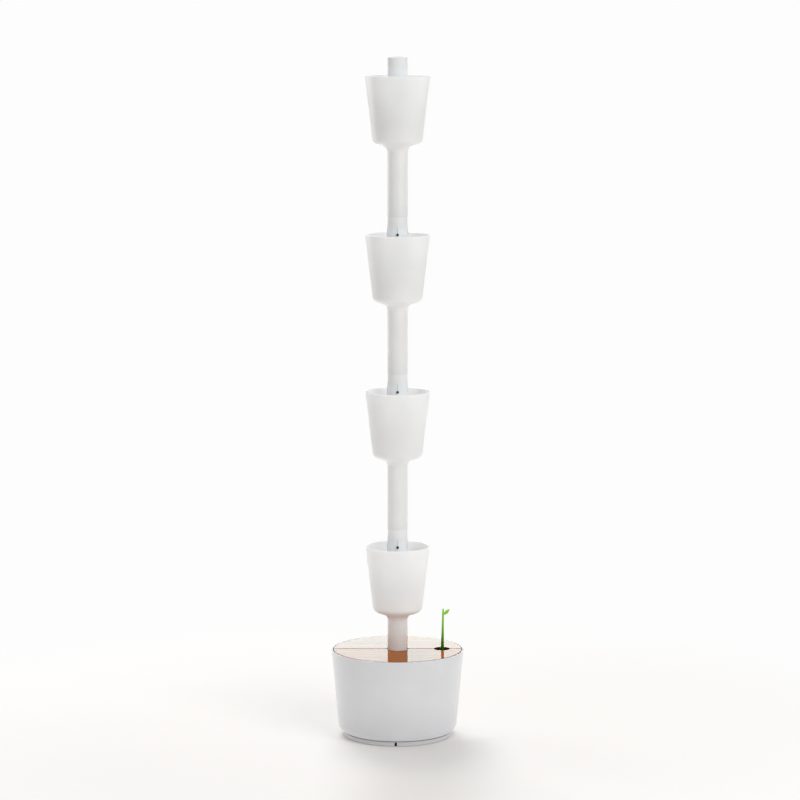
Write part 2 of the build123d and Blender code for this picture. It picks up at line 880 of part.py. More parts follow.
def control_board():
    """Circuit board on its ledges, with the button's switch and a chip."""
    half = control_width / 2 - control_wall - board_margin
    reach = control_depth / 2 - control_wall - board_margin
    low = board_top - board_thickness
    board = block((-half, control_middle - reach, low), (half, control_middle + reach, board_top))
    room = corner_post / 2 + board_margin
    for cut in at_posts(block((-room, -room, low), (room, room, board_top))):
        board -= cut
    edge = switch_size / 2
    switch = block((-edge, -edge, board_top), (edge, edge, switch_top))
    board += Pos(button_x, control_middle, 0) * switch
    side = chip_size / 2
    chip = block((-side, -side, board_top), (side, side, board_top + chip_height))
    return board + Pos(chip_x, control_middle, 0) * chip


def start_button():
    """Push button held under the cover by its flange."""
    low = switch_top + button_travel + button_gap
    button = rod(button_radius, low, cover_high + button_proud)
    button = fillet(button.faces().sort_by(Axis.Z)[-1].edges(), button_round)
    button += rod(button_radius + button_flange, cover_low - button_flange, cover_low)
    return Pos(button_x, control_middle, 0) * button


def batteries():
    """Row of upright cells on the box's floor."""
    low = control_floor + control_wall
    first = -(cell_count - 1) / 2 * cell_spacing
    cell = rod(cell_radius, low, low + cell_height)
    return group([Pos(first + i * cell_spacing, control_middle, 0) * cell for i in range(cell_count)])


def lead_gland():
    """Gland through the control box's floor."""
    neck = gland_radius - control_wall
    inside = control_floor + control_wall
    gland = rod(gland_radius, control_floor - gland_length, control_floor)
    gland += rod(neck, control_floor, inside) + rod(gland_radius, inside, inside + control_wall)
    gland -= rod(lead_radius + fixed_clearance, control_floor - gland_length, inside + control_wall)
    return Pos(gland_x, control_middle, 0) * gland


lead_route = [
    (gland_x, control_middle, control_floor + 2 * control_wall),
    (gland_x, control_middle, lead_z),
    (0, lead_turn_y, lead_z),
    (0, pump_radius + port_reach, lead_z),
]


def pump_lead():
    """Lead from the control unit down to the tank's floor and in to the pump."""
    path = FilletPolyline(*lead_route, radius=[lead_bend, lead_sweep])
    return sweep(Plane(path @ 0, z_dir=path % 0) * Circle(lead_radius), path=path)


def lead_clip():
    """Saddle under the lead, along X at the origin."""
    saddle = block((-clip_length / 2, -clip_width / 2, floor_z), (clip_length / 2, clip_width / 2, lead_z))
    groove = Pos(0, 0, lead_z) * Rot(0, 90, 0) * rod(lead_radius + fixed_clearance, -clip_length, clip_length)
    return saddle - groove


def lead_clips():
    """One saddle on each of the lead's two runs along the floor."""
    start = Vector(*lead_route[1])
    turn = Vector(*lead_route[2])
    heading = (turn - start).normalized()
    middle = start + heading * ((lead_bend + (turn - start).length) / 2)
    slant = degrees(atan2(heading.Y, heading.X))
    by_socket = flange_radius + clip_gap + clip_length / 2
    return group([
        Pos(middle.X, middle.Y, 0) * Rot(0, 0, slant) * lead_clip(),
        Pos(0, by_socket, 0) * Rot(0, 0, 90) * lead_clip(),
    ])


def pot_pieces(drop):
    """Pieces of one pot, with its ribs and its dripper lowered by a drop."""
    return {
        "pot_shell": pot_shell(),
        "drip_sleeve": drip_sleeve(drop),
        "soil_grid": soil_grid(),
        "stem_seal": stem_seal(),
        "dripper": dripper(drop),
        "riser_pipe": riser_pipe(drop),
        "riser_spider": riser_spider(),
    }


pieces = {
    "foot_ring": foot_ring(),
    "ring_screws": ring_screws(),
    "tank": tank(),
    "base_socket": base_socket(),
    "socket_screws": socket_screws(),
    "pump_strainer": pump_strainer(),
    "pump_housing": pump_housing(),
    "pump_motor": pump_motor(),
    "pump_impeller": pump_impeller(),
    "pump_outlet": pump_outlet(),
    "lid_front": lid_half(-1),
    "lid_rear": lid_half(1),
    "gauge_guide": gauge_guide(),
    "gauge_float": gauge_float(),
    "gauge_stem": gauge_stem(),
    "gauge_leaf": gauge_leaf(),
    "control_box": control_box(),
    "box_screws": box_screws(),
    "control_seal": control_seal(),
    "control_cover": control_cover(),
    "cover_screws": cover_screws(),
    "control_board": control_board(),
    "start_button": start_button(),
    "batteries": batteries(),
    "lead_gland": lead_gland(),
    "pump_lead": pump_lead(),
    "lead_clips": lead_clips(),
}

lower_pot = pot_pieces(0.0)
top_pot = pot_pieces(top_drip_drop)
for i in range(pot_count):
    lift = Pos(0, 0, first_rim + i * pot_pitch)
    pot = top_pot if i == pot_count - 1 else lower_pot
    for name, piece in pot.items():
        pieces[f"{name}_{i + 1}"] = lift * piece

top_rim = Pos(0, 0, first_rim + (pot_count - 1) * pot_pitch)
pieces["riser_plug"] = top_rim * riser_plug()
pieces["top_cap"] = top_rim * top_cap()

os.makedirs("parts", exist_ok=True)
for name, piece in pieces.items():
    export_step(piece, f"parts/{name}.step")
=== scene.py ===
"""Vertical planter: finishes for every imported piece, a modelled sprout and a pale studio."""

import math
from functools import partial

import bmesh
import bpy
from bpy.props import FloatProperty, FloatVectorProperty, PointerProperty
from bpy.types import Operator, Panel, PropertyGroup
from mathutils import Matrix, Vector


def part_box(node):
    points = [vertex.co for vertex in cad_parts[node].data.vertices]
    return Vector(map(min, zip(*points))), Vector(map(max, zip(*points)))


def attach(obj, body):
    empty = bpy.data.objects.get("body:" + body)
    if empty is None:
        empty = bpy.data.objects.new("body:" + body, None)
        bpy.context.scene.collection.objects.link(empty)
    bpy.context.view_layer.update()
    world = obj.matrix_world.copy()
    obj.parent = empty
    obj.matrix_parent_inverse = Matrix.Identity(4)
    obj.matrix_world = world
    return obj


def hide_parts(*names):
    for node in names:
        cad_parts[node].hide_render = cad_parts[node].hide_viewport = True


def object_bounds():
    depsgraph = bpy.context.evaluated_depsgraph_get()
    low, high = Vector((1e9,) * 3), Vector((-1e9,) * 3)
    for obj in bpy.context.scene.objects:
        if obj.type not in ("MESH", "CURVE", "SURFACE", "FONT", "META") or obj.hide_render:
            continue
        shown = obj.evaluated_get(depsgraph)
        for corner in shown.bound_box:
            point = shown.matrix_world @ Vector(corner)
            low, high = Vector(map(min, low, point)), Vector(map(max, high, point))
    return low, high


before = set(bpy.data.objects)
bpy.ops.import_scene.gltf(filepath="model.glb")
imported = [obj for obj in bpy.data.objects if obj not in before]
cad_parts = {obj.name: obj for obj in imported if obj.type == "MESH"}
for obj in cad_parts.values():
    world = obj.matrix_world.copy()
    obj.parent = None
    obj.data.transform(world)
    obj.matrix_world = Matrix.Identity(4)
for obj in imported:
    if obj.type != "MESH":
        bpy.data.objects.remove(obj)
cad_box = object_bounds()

bl_info = {
    "name": "Vertical planter",
    "version": (1, 0, 0),
    "blender": (4, 5, 0),
    "location": "3D View > Sidebar > Planter",
    "description": "Finishes, sprout and studio of a vertical planter",
    "category": "Object",
}

# Width of the camera's sensor in millimetres
SENSOR_WIDTH = 36.0

# Names and numbers of node sockets
COLOUR, VALUE = "NodeSocketColor", "NodeSocketFloat"
SKIN = {"Colour": COLOUR, "Roughness": VALUE}
MIX_FACTOR, MIX_FIRST, MIX_SECOND, MIX_RESULT = 0, 6, 7, 2
VALUE_SUMS = ("LENGTH", "DOT_PRODUCT")

# Shares of a piece's own height, at which a finish changes
RIM_START = 0.985
GLOW_START = 0.58
GLOW_RISE = 0.17
# Painted shade: the tank greys towards its foot
TANK_SHADE_SPAN = (0.55, 0.05)
# Painted shade: sleeves and the cap grey towards their upper ends
SLEEVE_SHADE_SPAN = (0.80, 0.94)
# Painted shade: grey lines on the sleeves' ribs above the rim
RIB_SHADE_SPAN = (0.79, 0.80)
CELL_BAND = (0.70, 0.705)
CELL_FOOT = (0.025, 0.02)
CELL_TOP = (0.98, 0.985)

# Strength of relief: the shader's own, and depths as shares of a grain's size
BUMP_STRENGTH = 0.6
PLASTIC_DEPTH = 0.06
RUBBER_DEPTH = 0.12
STREAK_DEPTH = 0.05

# Span in which most of a noise's values lie
NOISE_SPAN = (0.3, 0.7)

EVEN_GLOW = (1.0, 1.0, 1.0)
RUBBED_WHITE = (0.93, 0.93, 0.93)

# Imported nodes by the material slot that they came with
slot_nodes = {}
for cad_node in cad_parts.values():
    slot_nodes.setdefault(cad_node.data.materials[0].name, []).append(cad_node)

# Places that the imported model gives
lid_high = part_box("lid_front")[1]
float_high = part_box("gauge_float")[1]
stem_low, stem_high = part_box("gauge_stem")
leaf_low, leaf_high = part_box("gauge_leaf")
sprout_axis = (stem_low + stem_high) / 2
board_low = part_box("control_board")[0]
foot_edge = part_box("foot_ring")[1].x
sleeve_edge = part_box("top_cap")[1].x

# Sawn edges inside the first radius belong to the lid's seam and holes, past the second to its rim
holes_reach = lid_high.x - 0.02
rim_reach = lid_high.x - 0.01


# Sizes and colours that a user would change

def setting(kind, **limits):
    """Maker of one kind of setting, which takes its name, its description and its default."""
    return lambda name, description, default: kind(
        name=name, description=description, default=default, **limits
    )


colour = setting(FloatVectorProperty, size=3, min=0.0, max=1.0, subtype="COLOR")
spot = setting(FloatVectorProperty, size=3, subtype="TRANSLATION", unit="LENGTH")
length = setting(FloatProperty, min=0.0, unit="LENGTH", precision=5)
share = setting(FloatProperty, min=0.0, max=1.0, subtype="FACTOR")
level = setting(FloatProperty, min=0.0)
watts = setting(FloatProperty, min=0.0, unit="POWER")
angle = setting(FloatProperty, subtype="ANGLE")
focal_length = setting(FloatProperty, min=1.0, unit="CAMERA")


class PlanterColours(PropertyGroup):
    """Colours of the planter's finishes."""

    pot: colour("Pots", "Satin plastic of the pots and their stems", (0.79, 0.79, 0.785))
    # Painted light: a paler white on the pots' inner faces, standing in for the light inside them
    pot_inside: colour("Pots, inside", "Paler plastic of the pots' inner faces", (0.93, 0.93, 0.925))
    sleeve: colour("Sleeves", "Cool white plastic of the sleeves and the socket", (0.89, 0.925, 0.945))
    # Painted shade: a greyer white at the sleeves' upper ends and on the cap
    sleeve_top: colour("Sleeve tops", "Greyer white of sleeves' tops and the cap", (0.85, 0.86, 0.855))
    # Painted shade: grey lines that stand in for the shading along the ribs
    sleeve_rib: colour("Sleeve ribs", "Grey of the thin ribs on the sleeves", (0.67, 0.70, 0.715))
    tank: colour("Tank", "Cool white plastic of the tank", (0.64, 0.645, 0.66))
    # Painted shade: a greyer white low on the tank, standing in for the shade towards its foot
    tank_foot: colour("Tank, low down", "Greyer plastic towards the tank's foot", (0.575, 0.577, 0.595))
    foot: colour("Foot ring", "Pale grey plastic of the foot ring", (0.52, 0.51, 0.52))
    wood_pale: colour("Wood, early growth", "Pale bands of the lid's grain", (0.51, 0.167, 0.033))
    wood_dark: colour("Wood, late growth", "Dark bands of the lid's grain", (0.35, 0.103, 0.0185))
    wood_pore: colour("Wood pores", "Short dark pores along the grain", (0.17, 0.055, 0.016))
    # Partly the sawn edges' own dark, partly painted shade in the lid's holes round the stem
    wood_cut: colour("Wood, sawn edges", "Dark sealed edges of the seam and holes", (0.035, 0.014, 0.006))
    stem_foot: colour("Sprout foot", "Sprout's stem where it leaves the lid", (0.004, 0.12, 0.0005))
    stem_tip: colour("Sprout tip", "Sprout's stem at its tip", (0.20, 0.56, 0.035))
    leaf: colour("Leaf", "Blade of the leaf", (0.24, 0.66, 0.02))
    leaf_vein: colour("Leaf veins", "Midrib and side veins of the leaf", (0.36, 0.74, 0.06))
    black: colour("Black plastic", "Drippers, pump and glands", (0.012, 0.012, 0.013))
    grey: colour("Grey plastic", "Grids, guide and control box", (0.52, 0.53, 0.54))
    pipe: colour("Water pipe", "Milky riser pipes", (0.66, 0.70, 0.72))
    rubber: colour("Rubber", "Sealing rings and gasket", (0.018, 0.018, 0.018))
    steel: colour("Steel", "Stainless screws", (0.60, 0.60, 0.59))
    can: colour("Motor can", "Coated steel of the motor", (0.20, 0.21, 0.22))
    foam: colour("Foam", "Closed foam of the float", (0.85, 0.82, 0.72))
    board: colour("Circuit board", "Lacquer of the circuit board", (0.018, 0.15, 0.055))
    track: colour("Tracks", "Copper tracks under the lacquer", (0.06, 0.28, 0.10))
    cell: colour("Cells", "Sleeve of the cells", (0.10, 0.12, 0.14))
    cell_band: colour("Cell band", "Band at the cells' upper ends", (0.62, 0.36, 0.16))
    button: colour("Button", "Soft green push button", (0.18, 0.46, 0.12))
    lead: colour("Lead", "Sheath of the pump's lead", (0.02, 0.02, 0.021))
    dust: colour("Dust", "Fine dust on upward faces", (0.70, 0.68, 0.64))


class PlanterSizes(PropertyGroup):
    """Sizes of the planter's surface detail and of the modelled sprout."""

    moulded_grain: length("Moulded grain", "Grain of the moulded plastic", 0.0006)
    bowl_glow: share("Bowl glow", "Light that soaks into the thin walls of the pots", 0.95)
    stem_glow: share("Stem glow", "Light that soaks into the pots' cones and stems", 0.2)
    glow_depth: length("Glow depth", "How deep light soaks into white plastic", 0.007)
    rim_wear: share("Rim wear", "How much paler the rims are rubbed", 0.2)
    rubber_grain: length("Rubber grain", "Grain of rubber and sheaths", 0.0004)
    streak_width: length("Streak width", "Width of drawn or brushed streaks", 0.0005)
    streak_length: length("Streak length", "Length of drawn or brushed streaks", 0.05)
    rib_width: length("Rib width", "Width of the sleeves' thin ribs", 0.0024)
    rib_depth: length("Rib depth", "Depth of the sleeves' ribs at the pots' rims", 0.0019)
    stave_width: length("Stave width", "Width of the lid's glued staves", 0.045)
    stave_line: length("Glue line", "Width of the line between two staves", 0.0006)
    grain_width: length("Growth band", "Width of the wood's growth bands", 0.009)
    grain_length: length("Growth length", "Length along which the wood's bands wander", 0.30)
    fibre_depth: length("Fibre depth", "Depth over which the wood's fibres change", 0.004)
    pore_width: length("Pore width", "Width of the wood's pores", 0.0006)
    pore_length: length("Pore length", "Length of the wood's pores", 0.014)
    seam_bevel: length("Seam bevel", "Half width of the bare edges along the lid's seam", 0.0028)
    varnish: share("Varnish", "Weight of the lid's gloss varnish", 0.3)
    foam_cell: length("Foam cell", "Size of the foam's closed cells", 0.0016)
    track_pitch: length("Track pitch", "Spacing of the board's tracks", 0.00254)
    board_thickness: length("Board", "Thickness of the bare circuit board", 0.0016)
    rod_radius: length("Float rod", "Radius of the sprout's rod in the float", 0.0025)
    tip_radius: length("Sprout tip", "Radius of the sprout's stem at its tip", 0.0019)
    stem_lean: length("Lean", "How far the sprout's tip leans to the right", 0.0032)
    stem_oval: share("Flattening", "Flattening of the stem, front to back", 0.12)
    stem_fibre: length("Stem fibre", "Length of the streaks along the stem", 0.02)
    node_swell: share("Leaf joint", "Swelling of the stem under the leaf", 0.22)
    green_rise: share("Paling", "Share of the stem's height over which its green pales", 0.65)
    leaf_width: length("Leaf width", "Width of the leaf at its widest", 0.0090)
    leaf_bend: length("Leaf bend", "How far the leaf's blade bows", 0.0006)
    leaf_edge: length("Leaf edge", "Thickness of the leaf at its edge", 0.0004)


class PlanterStudio(PropertyGroup):
    """Camera, lamps and floor of the studio."""

    camera_side: length("Camera side", "Camera to the right of the axis", 0.006)
    camera_distance: length("Camera distance", "Camera in front of the axis", 7.768)
    camera_height: length("Camera height", "Camera above the floor", 1.864)
    camera_tilt: angle("Camera tilt", "Camera's tilt below the horizon", math.radians(7.45))
    camera_lens: focal_length("Lens", "Focal length in millimetres", 141.9)
    ambient: level("Ambient", "Light from all round", 0.57)
    backdrop: share("Backdrop", "White of the background", 0.982)
    key_power: watts("Key lamp", "Lamp above, behind and to the left", 100.0)
    key_place: spot("Key place", "Middle of the key lamp", (-0.9, 3.6, 4.2))
    key_size: length("Key size", "Side of the key lamp", 2.4)
    fill_power: watts("Fill lamp", "Lamp in front at the right", 42.0)
    fill_place: spot("Fill place", "Middle of the fill lamp", (1.9, -2.6, 2.2))
    fill_size: length("Fill size", "Side of the fill lamp", 2.2)
    side_power: watts("Side lamp", "Lamp at the left", 12.0)
    side_place: spot("Side place", "Middle of the side lamp", (-2.4, 1.7, 1.3))
    side_size: length("Side size", "Side of the side lamp", 1.4)
    bounce_power: watts("Bounce", "Wide lamp that lies on the floor", 8.5)
    bounce_rise: length("Bounce rise", "Height of the bounce above the floor", 0.001)
    bounce_width: length("Bounce width", "Width of the lamp on the floor", 3.0)
    panel_width: length("Panel width", "Width of both panels", 0.7)
    panel_power: watts("Rear panel", "Panel that the varnish mirrors", 3.6)
    panel_place: spot("Panel place", "Middle of the rear panel", (0.0, 3.0, 0.85))
    panel_height: length("Panel height", "Height of the rear panel", 0.24)
    panel_tint: colour("Panel tint", "Cool light of the rear panel", (0.66, 0.93, 0.98))
    low_panel_power: watts("Low panel", "Lower panel that the rear lid mirrors", 0.25)
    low_panel_place: spot("Low panel place", "Middle of the low panel", (0.0, 3.0, 0.79))
    low_panel_height: length("Low panel height", "Height of the low panel", 0.12)
    low_panel_tint: colour("Low panel tint", "Cool light of the low panel", (0.5, 0.95, 1.0))
    floor: colour("Floor", "Pale warm floor under the planter", (0.85, 0.83, 0.808))
    floor_reach: length("Floor reach", "Radius of the floor", 9.0)
    floor_drop: length("Floor drop", "Gap between the floor and the foot ring", 0.0002)
    # Painted shade on the floor under the foot ring's edge
    foot_shade: length("Foot shade", "Width of the dark edge under the foot ring", 0.012)
    # Painted light on the floor round the planter, left out in front so that it shapes the shadow there
    floor_lift: share("Floor lift", "White that the floor shows beside its own light", 0.14)
    lift_near: length("Lift starts", "Radius at which the floor's lift starts", 0.128)
    lift_far: length("Lift full", "Radius at which the floor's lift is full", 0.152)
    lift_front: length("Lift fades", "How far in front of the axis the lift has faded", 0.14)
    shade_side: length("Shade side", "How far to the right the shade in front lies", 0.045)
    shade_core: length("Shade core", "Half width of the shade in front that has no lift", 0.035)
    shade_edge: length("Shade edge", "Half width past which the lift in front is full", 0.27)
    shade_near: length("Shade kept", "Radius within which the floor keeps its shade", 0.55)
    shade_far: length("Shade gone", "Radius past which the floor is plain white", 1.6)


# Shorthands for building node trees

def add(tree, kind, inputs=None, **settings):
    """New node with settings, whose inputs take values, opaque colours or other nodes' outputs."""
    node = tree.nodes.new(kind)
    for key, value in settings.items():
        setattr(node, key, value)
    for key, value in (inputs or {}).items():
        socket = node.inputs[key]
        if isinstance(value, bpy.types.NodeSocket):
            tree.links.new(value, socket)
        else:
            socket.default_value = (*value, 1.0) if socket.type == "RGBA" else value
    return node


def maths(tree, operation, first, second=0.0, clamp=False):
    """Result of one sum."""
    inputs = {0: first, 1: second}
    return add(tree, "ShaderNodeMath", inputs, operation=operation, use_clamp=clamp).outputs[0]


def product(tree, first, *others, clamp=False):
    """Product of values, held between 0 and 1 where clamp is set."""
    for other in others:
        first = maths(tree, "MULTIPLY", first, other, clamp)
    return first


def size_of(tree, value):
    """Value without its sign."""
    return maths(tree, "ABSOLUTE", value)


def vector_maths(tree, operation, first, second=None):
    """Result of one sum of places: a value for a length or a dot product, else a place."""
    inputs = {0: first} if second is None else {0: first, 1: second}
    outputs = add(tree, "ShaderNodeVectorMath", inputs, operation=operation).outputs
    return outputs["Value"] if operation in VALUE_SUMS else outputs[0]


def scaled(tree, rgb, factor):
    """Colour times a value."""
    return add(tree, "ShaderNodeVectorMath", {0: rgb, "Scale": factor}, operation="SCALE").outputs[0]


def mixed(tree, factor, first, second):
    """Mix of two colours."""
    inputs = {MIX_FACTOR: factor, MIX_FIRST: first, MIX_SECOND: second}
    return add(tree, "ShaderNodeMix", inputs, data_type="RGBA").outputs[MIX_RESULT]


def ramped(tree, value, low, high, start=0.0, end=1.0):
    """Value eased from start to end as the input goes from low to high."""
    limits = {"Value": value, "From Min": low, "From Max": high, "To Min": start, "To Max": end}
    return add(tree, "ShaderNodeMapRange", limits, interpolation_type="SMOOTHSTEP").outputs["Result"]


def shaded(tree, rgb, pattern, contrast):
    """Colour that a pattern makes darker and paler."""
    return scaled(tree, rgb, ramped(tree, pattern, *NOISE_SPAN, 1.0 - contrast, 1.0 + contrast))


def split(tree, vector):
    """X, Y and Z of a place or a direction."""
    return add(tree, "ShaderNodeSeparateXYZ", {0: vector}).outputs


def object_place(tree):
    """Place on the piece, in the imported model's own metres."""
    return add(tree, "ShaderNodeTexCoord").outputs["Object"]


def share_of_height(tree):
    """Height on the piece, from 0 at its foot to 1 at its top."""
    return split(tree, add(tree, "ShaderNodeTexCoord").outputs["Generated"])["Z"]


def from_axis(tree, axes):
    """Distance of a place from the planter's axis."""
    flat = add(tree, "ShaderNodeCombineXYZ", {0: axes["X"], 1: axes["Y"]}).outputs[0]
    return vector_maths(tree, "LENGTH", flat)


def facing_up(tree):
    """1 on faces that look up, 0 on upright faces and -1 on faces that look down."""
    return split(tree, add(tree, "ShaderNodeNewGeometry").outputs["Normal"])["Z"]


def facing_axis(tree):
    """1 on faces that look at the planter's axis, 0 on faces that look up, down or away from it."""
    face = add(tree, "ShaderNodeNewGeometry").outputs
    level_part = vector_maths(tree, "MULTIPLY", face["Position"], (1.0, 1.0, 0.0))
    outward = vector_maths(tree, "NORMALIZE", level_part)
    away = vector_maths(tree, "DOT_PRODUCT", face["Normal"], outward)
    return ramped(tree, away, low=0.0, high=-0.2)


def noise(tree, place, scale=1.0, detail=2.0, roughness=0.5, distortion=0.0):
    """Noise from 0 to 1."""
    values = {"Vector": place, "Scale": scale, "Detail": detail, "Roughness": roughness}
    return add(tree, "ShaderNodeTexNoise", {**values, "Distortion": distortion}).outputs[0]


def stretched(tree, place, steps):
    """Place measured in steps of its own along each axis."""
    return vector_maths(tree, "MULTIPLY", place, tuple(1.0 / step for step in steps))


def new_group(name, inputs, outputs):
    """Empty node group with its sockets, and its input and output sockets."""
    tree = bpy.data.node_groups.new(name, "ShaderNodeTree")
    for way, sockets in (("INPUT", inputs), ("OUTPUT", outputs)):
        for label, kind in sockets.items():
            tree.interface.new_socket(label, in_out=way, socket_type=kind)
    return tree, tree.nodes.new("NodeGroupInput").outputs, tree.nodes.new("NodeGroupOutput").inputs


# Effects that several finishes share

def moulded_grain():
    """Soft shade and gloss changes and a fine grain, as on moulded plastic."""
    tree, given, result = new_group(
        "moulded_grain",
        {**SKIN, "Shade": VALUE, "Grain": VALUE, "Gloss Change": VALUE},
        {**SKIN, "Height": VALUE},
    )
    place = object_place(tree)
    low = maths(tree, "SUBTRACT", 1.0, given["Shade"])
    high = maths(tree, "ADD", 1.0, given["Shade"])
    tint = ramped(tree, noise(tree, place, scale=11.0, detail=3.0), *NOISE_SPAN, low, high)
    tree.links.new(scaled(tree, given["Colour"], tint), result["Colour"])
    flow = noise(tree, place, scale=45.0, detail=4.0, roughness=0.6, distortion=0.8)
    change = product(tree, maths(tree, "SUBTRACT", flow, 0.5), given["Gloss Change"])
    tree.links.new(maths(tree, "ADD", given["Roughness"], change), result["Roughness"])
    grain = noise(tree, place, scale=maths(tree, "DIVIDE", 1.0, given["Grain"]))
    tree.links.new(grain, result["Height"])
    return tree


def drawn_streaks():
    """Fine upright streaks, as on drawn tube or brushed metal."""
    inputs = {"Width": VALUE, "Length": VALUE}
    tree, given, result = new_group("drawn_streaks", inputs, {"Streaks": VALUE})
    step = add(tree, "ShaderNodeCombineXYZ", {0: given["Width"], 1: given["Width"], 2: given["Length"]})
    place = vector_maths(tree, "DIVIDE", object_place(tree), step.outputs[0])
    tree.links.new(noise(tree, place, detail=3.0, roughness=0.6), result["Streaks"])
    return tree


def settled_dust():
    """Thin uneven dust on faces that look up, which dulls them."""
    inputs = {**SKIN, "Dust": COLOUR, "Amount": VALUE}
    tree, given, result = new_group("settled_dust", inputs, SKIN)
    facing = ramped(tree, facing_up(tree), low=0.35, high=0.95)
    specks = noise(tree, object_place(tree), scale=90.0, detail=5.0, roughness=0.65)
    patches = ramped(tree, specks, low=0.38, high=0.68)
    mask = product(tree, facing, patches, given["Amount"], clamp=True)
    tree.links.new(mixed(tree, mask, given["Colour"], given["Dust"]), result["Colour"])
    most_dulled = 0.4
    dulled = maths(tree, "ADD", given["Roughness"], product(tree, mask, most_dulled), clamp=True)
    tree.links.new(dulled, result["Roughness"])
    return tree


def rubbed_rim():
    """Rim at a piece's top, rubbed paler and smoother by hands."""
    inputs = {**SKIN, "Start": VALUE, "Amount": VALUE}
    tree, given, result = new_group("rubbed_rim", inputs, SKIN)
    band = ramped(tree, share_of_height(tree), given["Start"], 1.0)
    patches = noise(tree, object_place(tree), scale=60.0, detail=3.0)
    broken = ramped(tree, patches, low=0.25, high=0.6, start=0.4)
    mask = product(tree, band, broken, given["Amount"], clamp=True)
    tree.links.new(mixed(tree, mask, given["Colour"], RUBBED_WHITE), result["Colour"])
    most_smoothed = 0.2
    smoothed = maths(tree, "SUBTRACT", given["Roughness"], product(tree, mask, most_smoothed))
    tree.links.new(smoothed, result["Roughness"])
    return tree


def effect(tree, make, over=None, **inputs):
    """Shared effect placed in a material with its own values, over another one's colour and gloss."""
    group = bpy.data.node_groups.get(make.__name__) or make()
    values = {key.replace("_", " "): value for key, value in inputs.items()}
    if over is not None:
        values.update(Colour=over["Colour"], Roughness=over["Roughness"])
    return add(tree, "ShaderNodeGroup", values, node_tree=group).outputs


def grained(tree, rgb, grain, roughness, shade, gloss_change=0.15):
    """Moulded grain of a size, laid over a colour."""
    return effect(
        tree, moulded_grain, Colour=rgb, Roughness=roughness, Shade=shade, Grain=grain,
        Gloss_Change=gloss_change,
    )


# Finishes

def new_finish(name, **constants):
    """Material with one surface shader whose plain sockets are set."""
    material = bpy.data.materials.new(name)
    material.use_nodes = True
    tree = material.node_tree
    surface = tree.nodes["Principled BSDF"]
    for key, value in constants.items():
        surface.inputs[key.replace("_", " ")].default_value = value
    return material, tree, surface


def set_surface(tree, surface, skin, height, depth):
    """Links a skin's colour and roughness and a relief of the given depth to the surface."""
    relief = add(tree, "ShaderNodeBump", {"Height": height, "Distance": depth, "Strength": BUMP_STRENGTH})
    tree.links.new(skin["Colour"], surface.inputs["Base Color"])
    tree.links.new(skin["Roughness"], surface.inputs["Roughness"])
    tree.links.new(relief.outputs[0], surface.inputs["Normal"])


def moulded_plastic(
    name, rgb, colours, sizes, roughness, shade=0.02, dusty=0.0, rim=None, glow=None, painted_shading=None
):
    """Moulded plastic with its grain, a little dust, any painted shading it is given and, on open shells,
    a rubbed rim and a glow.
    """
    material, tree, surface = new_finish(
        name, IOR=1.5, Subsurface_Scale=sizes.glow_depth, Subsurface_Radius=EVEN_GLOW
    )
    base = painted_shading(tree, rgb) if painted_shading else rgb
    grain = grained(tree, base, sizes.moulded_grain, roughness, shade, gloss_change=0.12)
    skin = grain
    if rim is not None:
        skin = effect(tree, rubbed_rim, skin, Start=rim, Amount=sizes.rim_wear)
    if dusty:
        skin = effect(tree, settled_dust, skin, Dust=colours.dust, Amount=dusty)
    if glow is not None:
        height = share_of_height(tree)
        soaked = ramped(tree, height, glow, glow + GLOW_RISE, sizes.stem_glow, sizes.bowl_glow)
        tree.links.new(soaked, surface.inputs["Subsurface Weight"])
    set_surface(tree, surface, skin, grain["Height"], sizes.moulded_grain * PLASTIC_DEPTH)
    return material


def drawn_tube(name, rgb, sizes, roughness, metallic=0.0, contrast=0.05, specular=0.5, painted_shading=None):
    """Drawn or brushed tube with fine streaks along it, in one colour or with painted shading laid over
    it.
    """
    material, tree, surface = new_finish(name, IOR=1.5, Metallic=metallic, Specular_IOR_Level=specular)
    base = painted_shading(tree, rgb) if painted_shading else rgb
    grain = grained(tree, base, sizes.moulded_grain, roughness, shade=0.03, gloss_change=0.1)
    streak = effect(tree, drawn_streaks, Width=sizes.streak_width, Length=sizes.streak_length)["Streaks"]
    most_dulled = 0.12
    skin = {
        "Colour": shaded(tree, grain["Colour"], streak, contrast),
        "Roughness": maths(tree, "ADD", grain["Roughness"], product(tree, streak, most_dulled)),
    }
    set_surface(tree, surface, skin, streak, sizes.streak_width * STREAK_DEPTH)
    return material


def pot_shades(tree, base, colours):
    """White with painted light: paler on a pot's inner faces."""
    return mixed(tree, facing_axis(tree), base, colours.pot_inside)


def tank_shades(tree, base, colours):
    """White with painted shade that greys it towards the tank's foot."""
    return mixed(tree, ramped(tree, share_of_height(tree), *TANK_SHADE_SPAN), base, colours.tank_foot)


def sleeve_shades(tree, base, colours, sizes):
    """Cool white with painted shade: greyer at a sleeve's upper end and on its ribs above the rim."""
    height = share_of_height(tree)
    base = mixed(tree, ramped(tree, height, *SLEEVE_SHADE_SPAN), base, colours.sleeve_top)
    axes = split(tree, object_place(tree))
    rib_foot = sleeve_edge + sizes.rib_depth * 0.15
    rib_crest = sleeve_edge + sizes.rib_depth * 0.5
    proud = ramped(tree, from_axis(tree, axes), rib_foot, rib_crest)
    across = maths(tree, "MINIMUM", size_of(tree, axes["X"]), size_of(tree, axes["Y"]))
    narrow = ramped(tree, across, sizes.rib_width * 0.75, sizes.rib_width * 0.55)
    # Painted shade: grey lines along the ribs above the pots' rims
    rib = product(tree, proud, narrow, ramped(tree, height, *RIB_SHADE_SPAN))
    return mixed(tree, rib, base, colours.sleeve_rib)


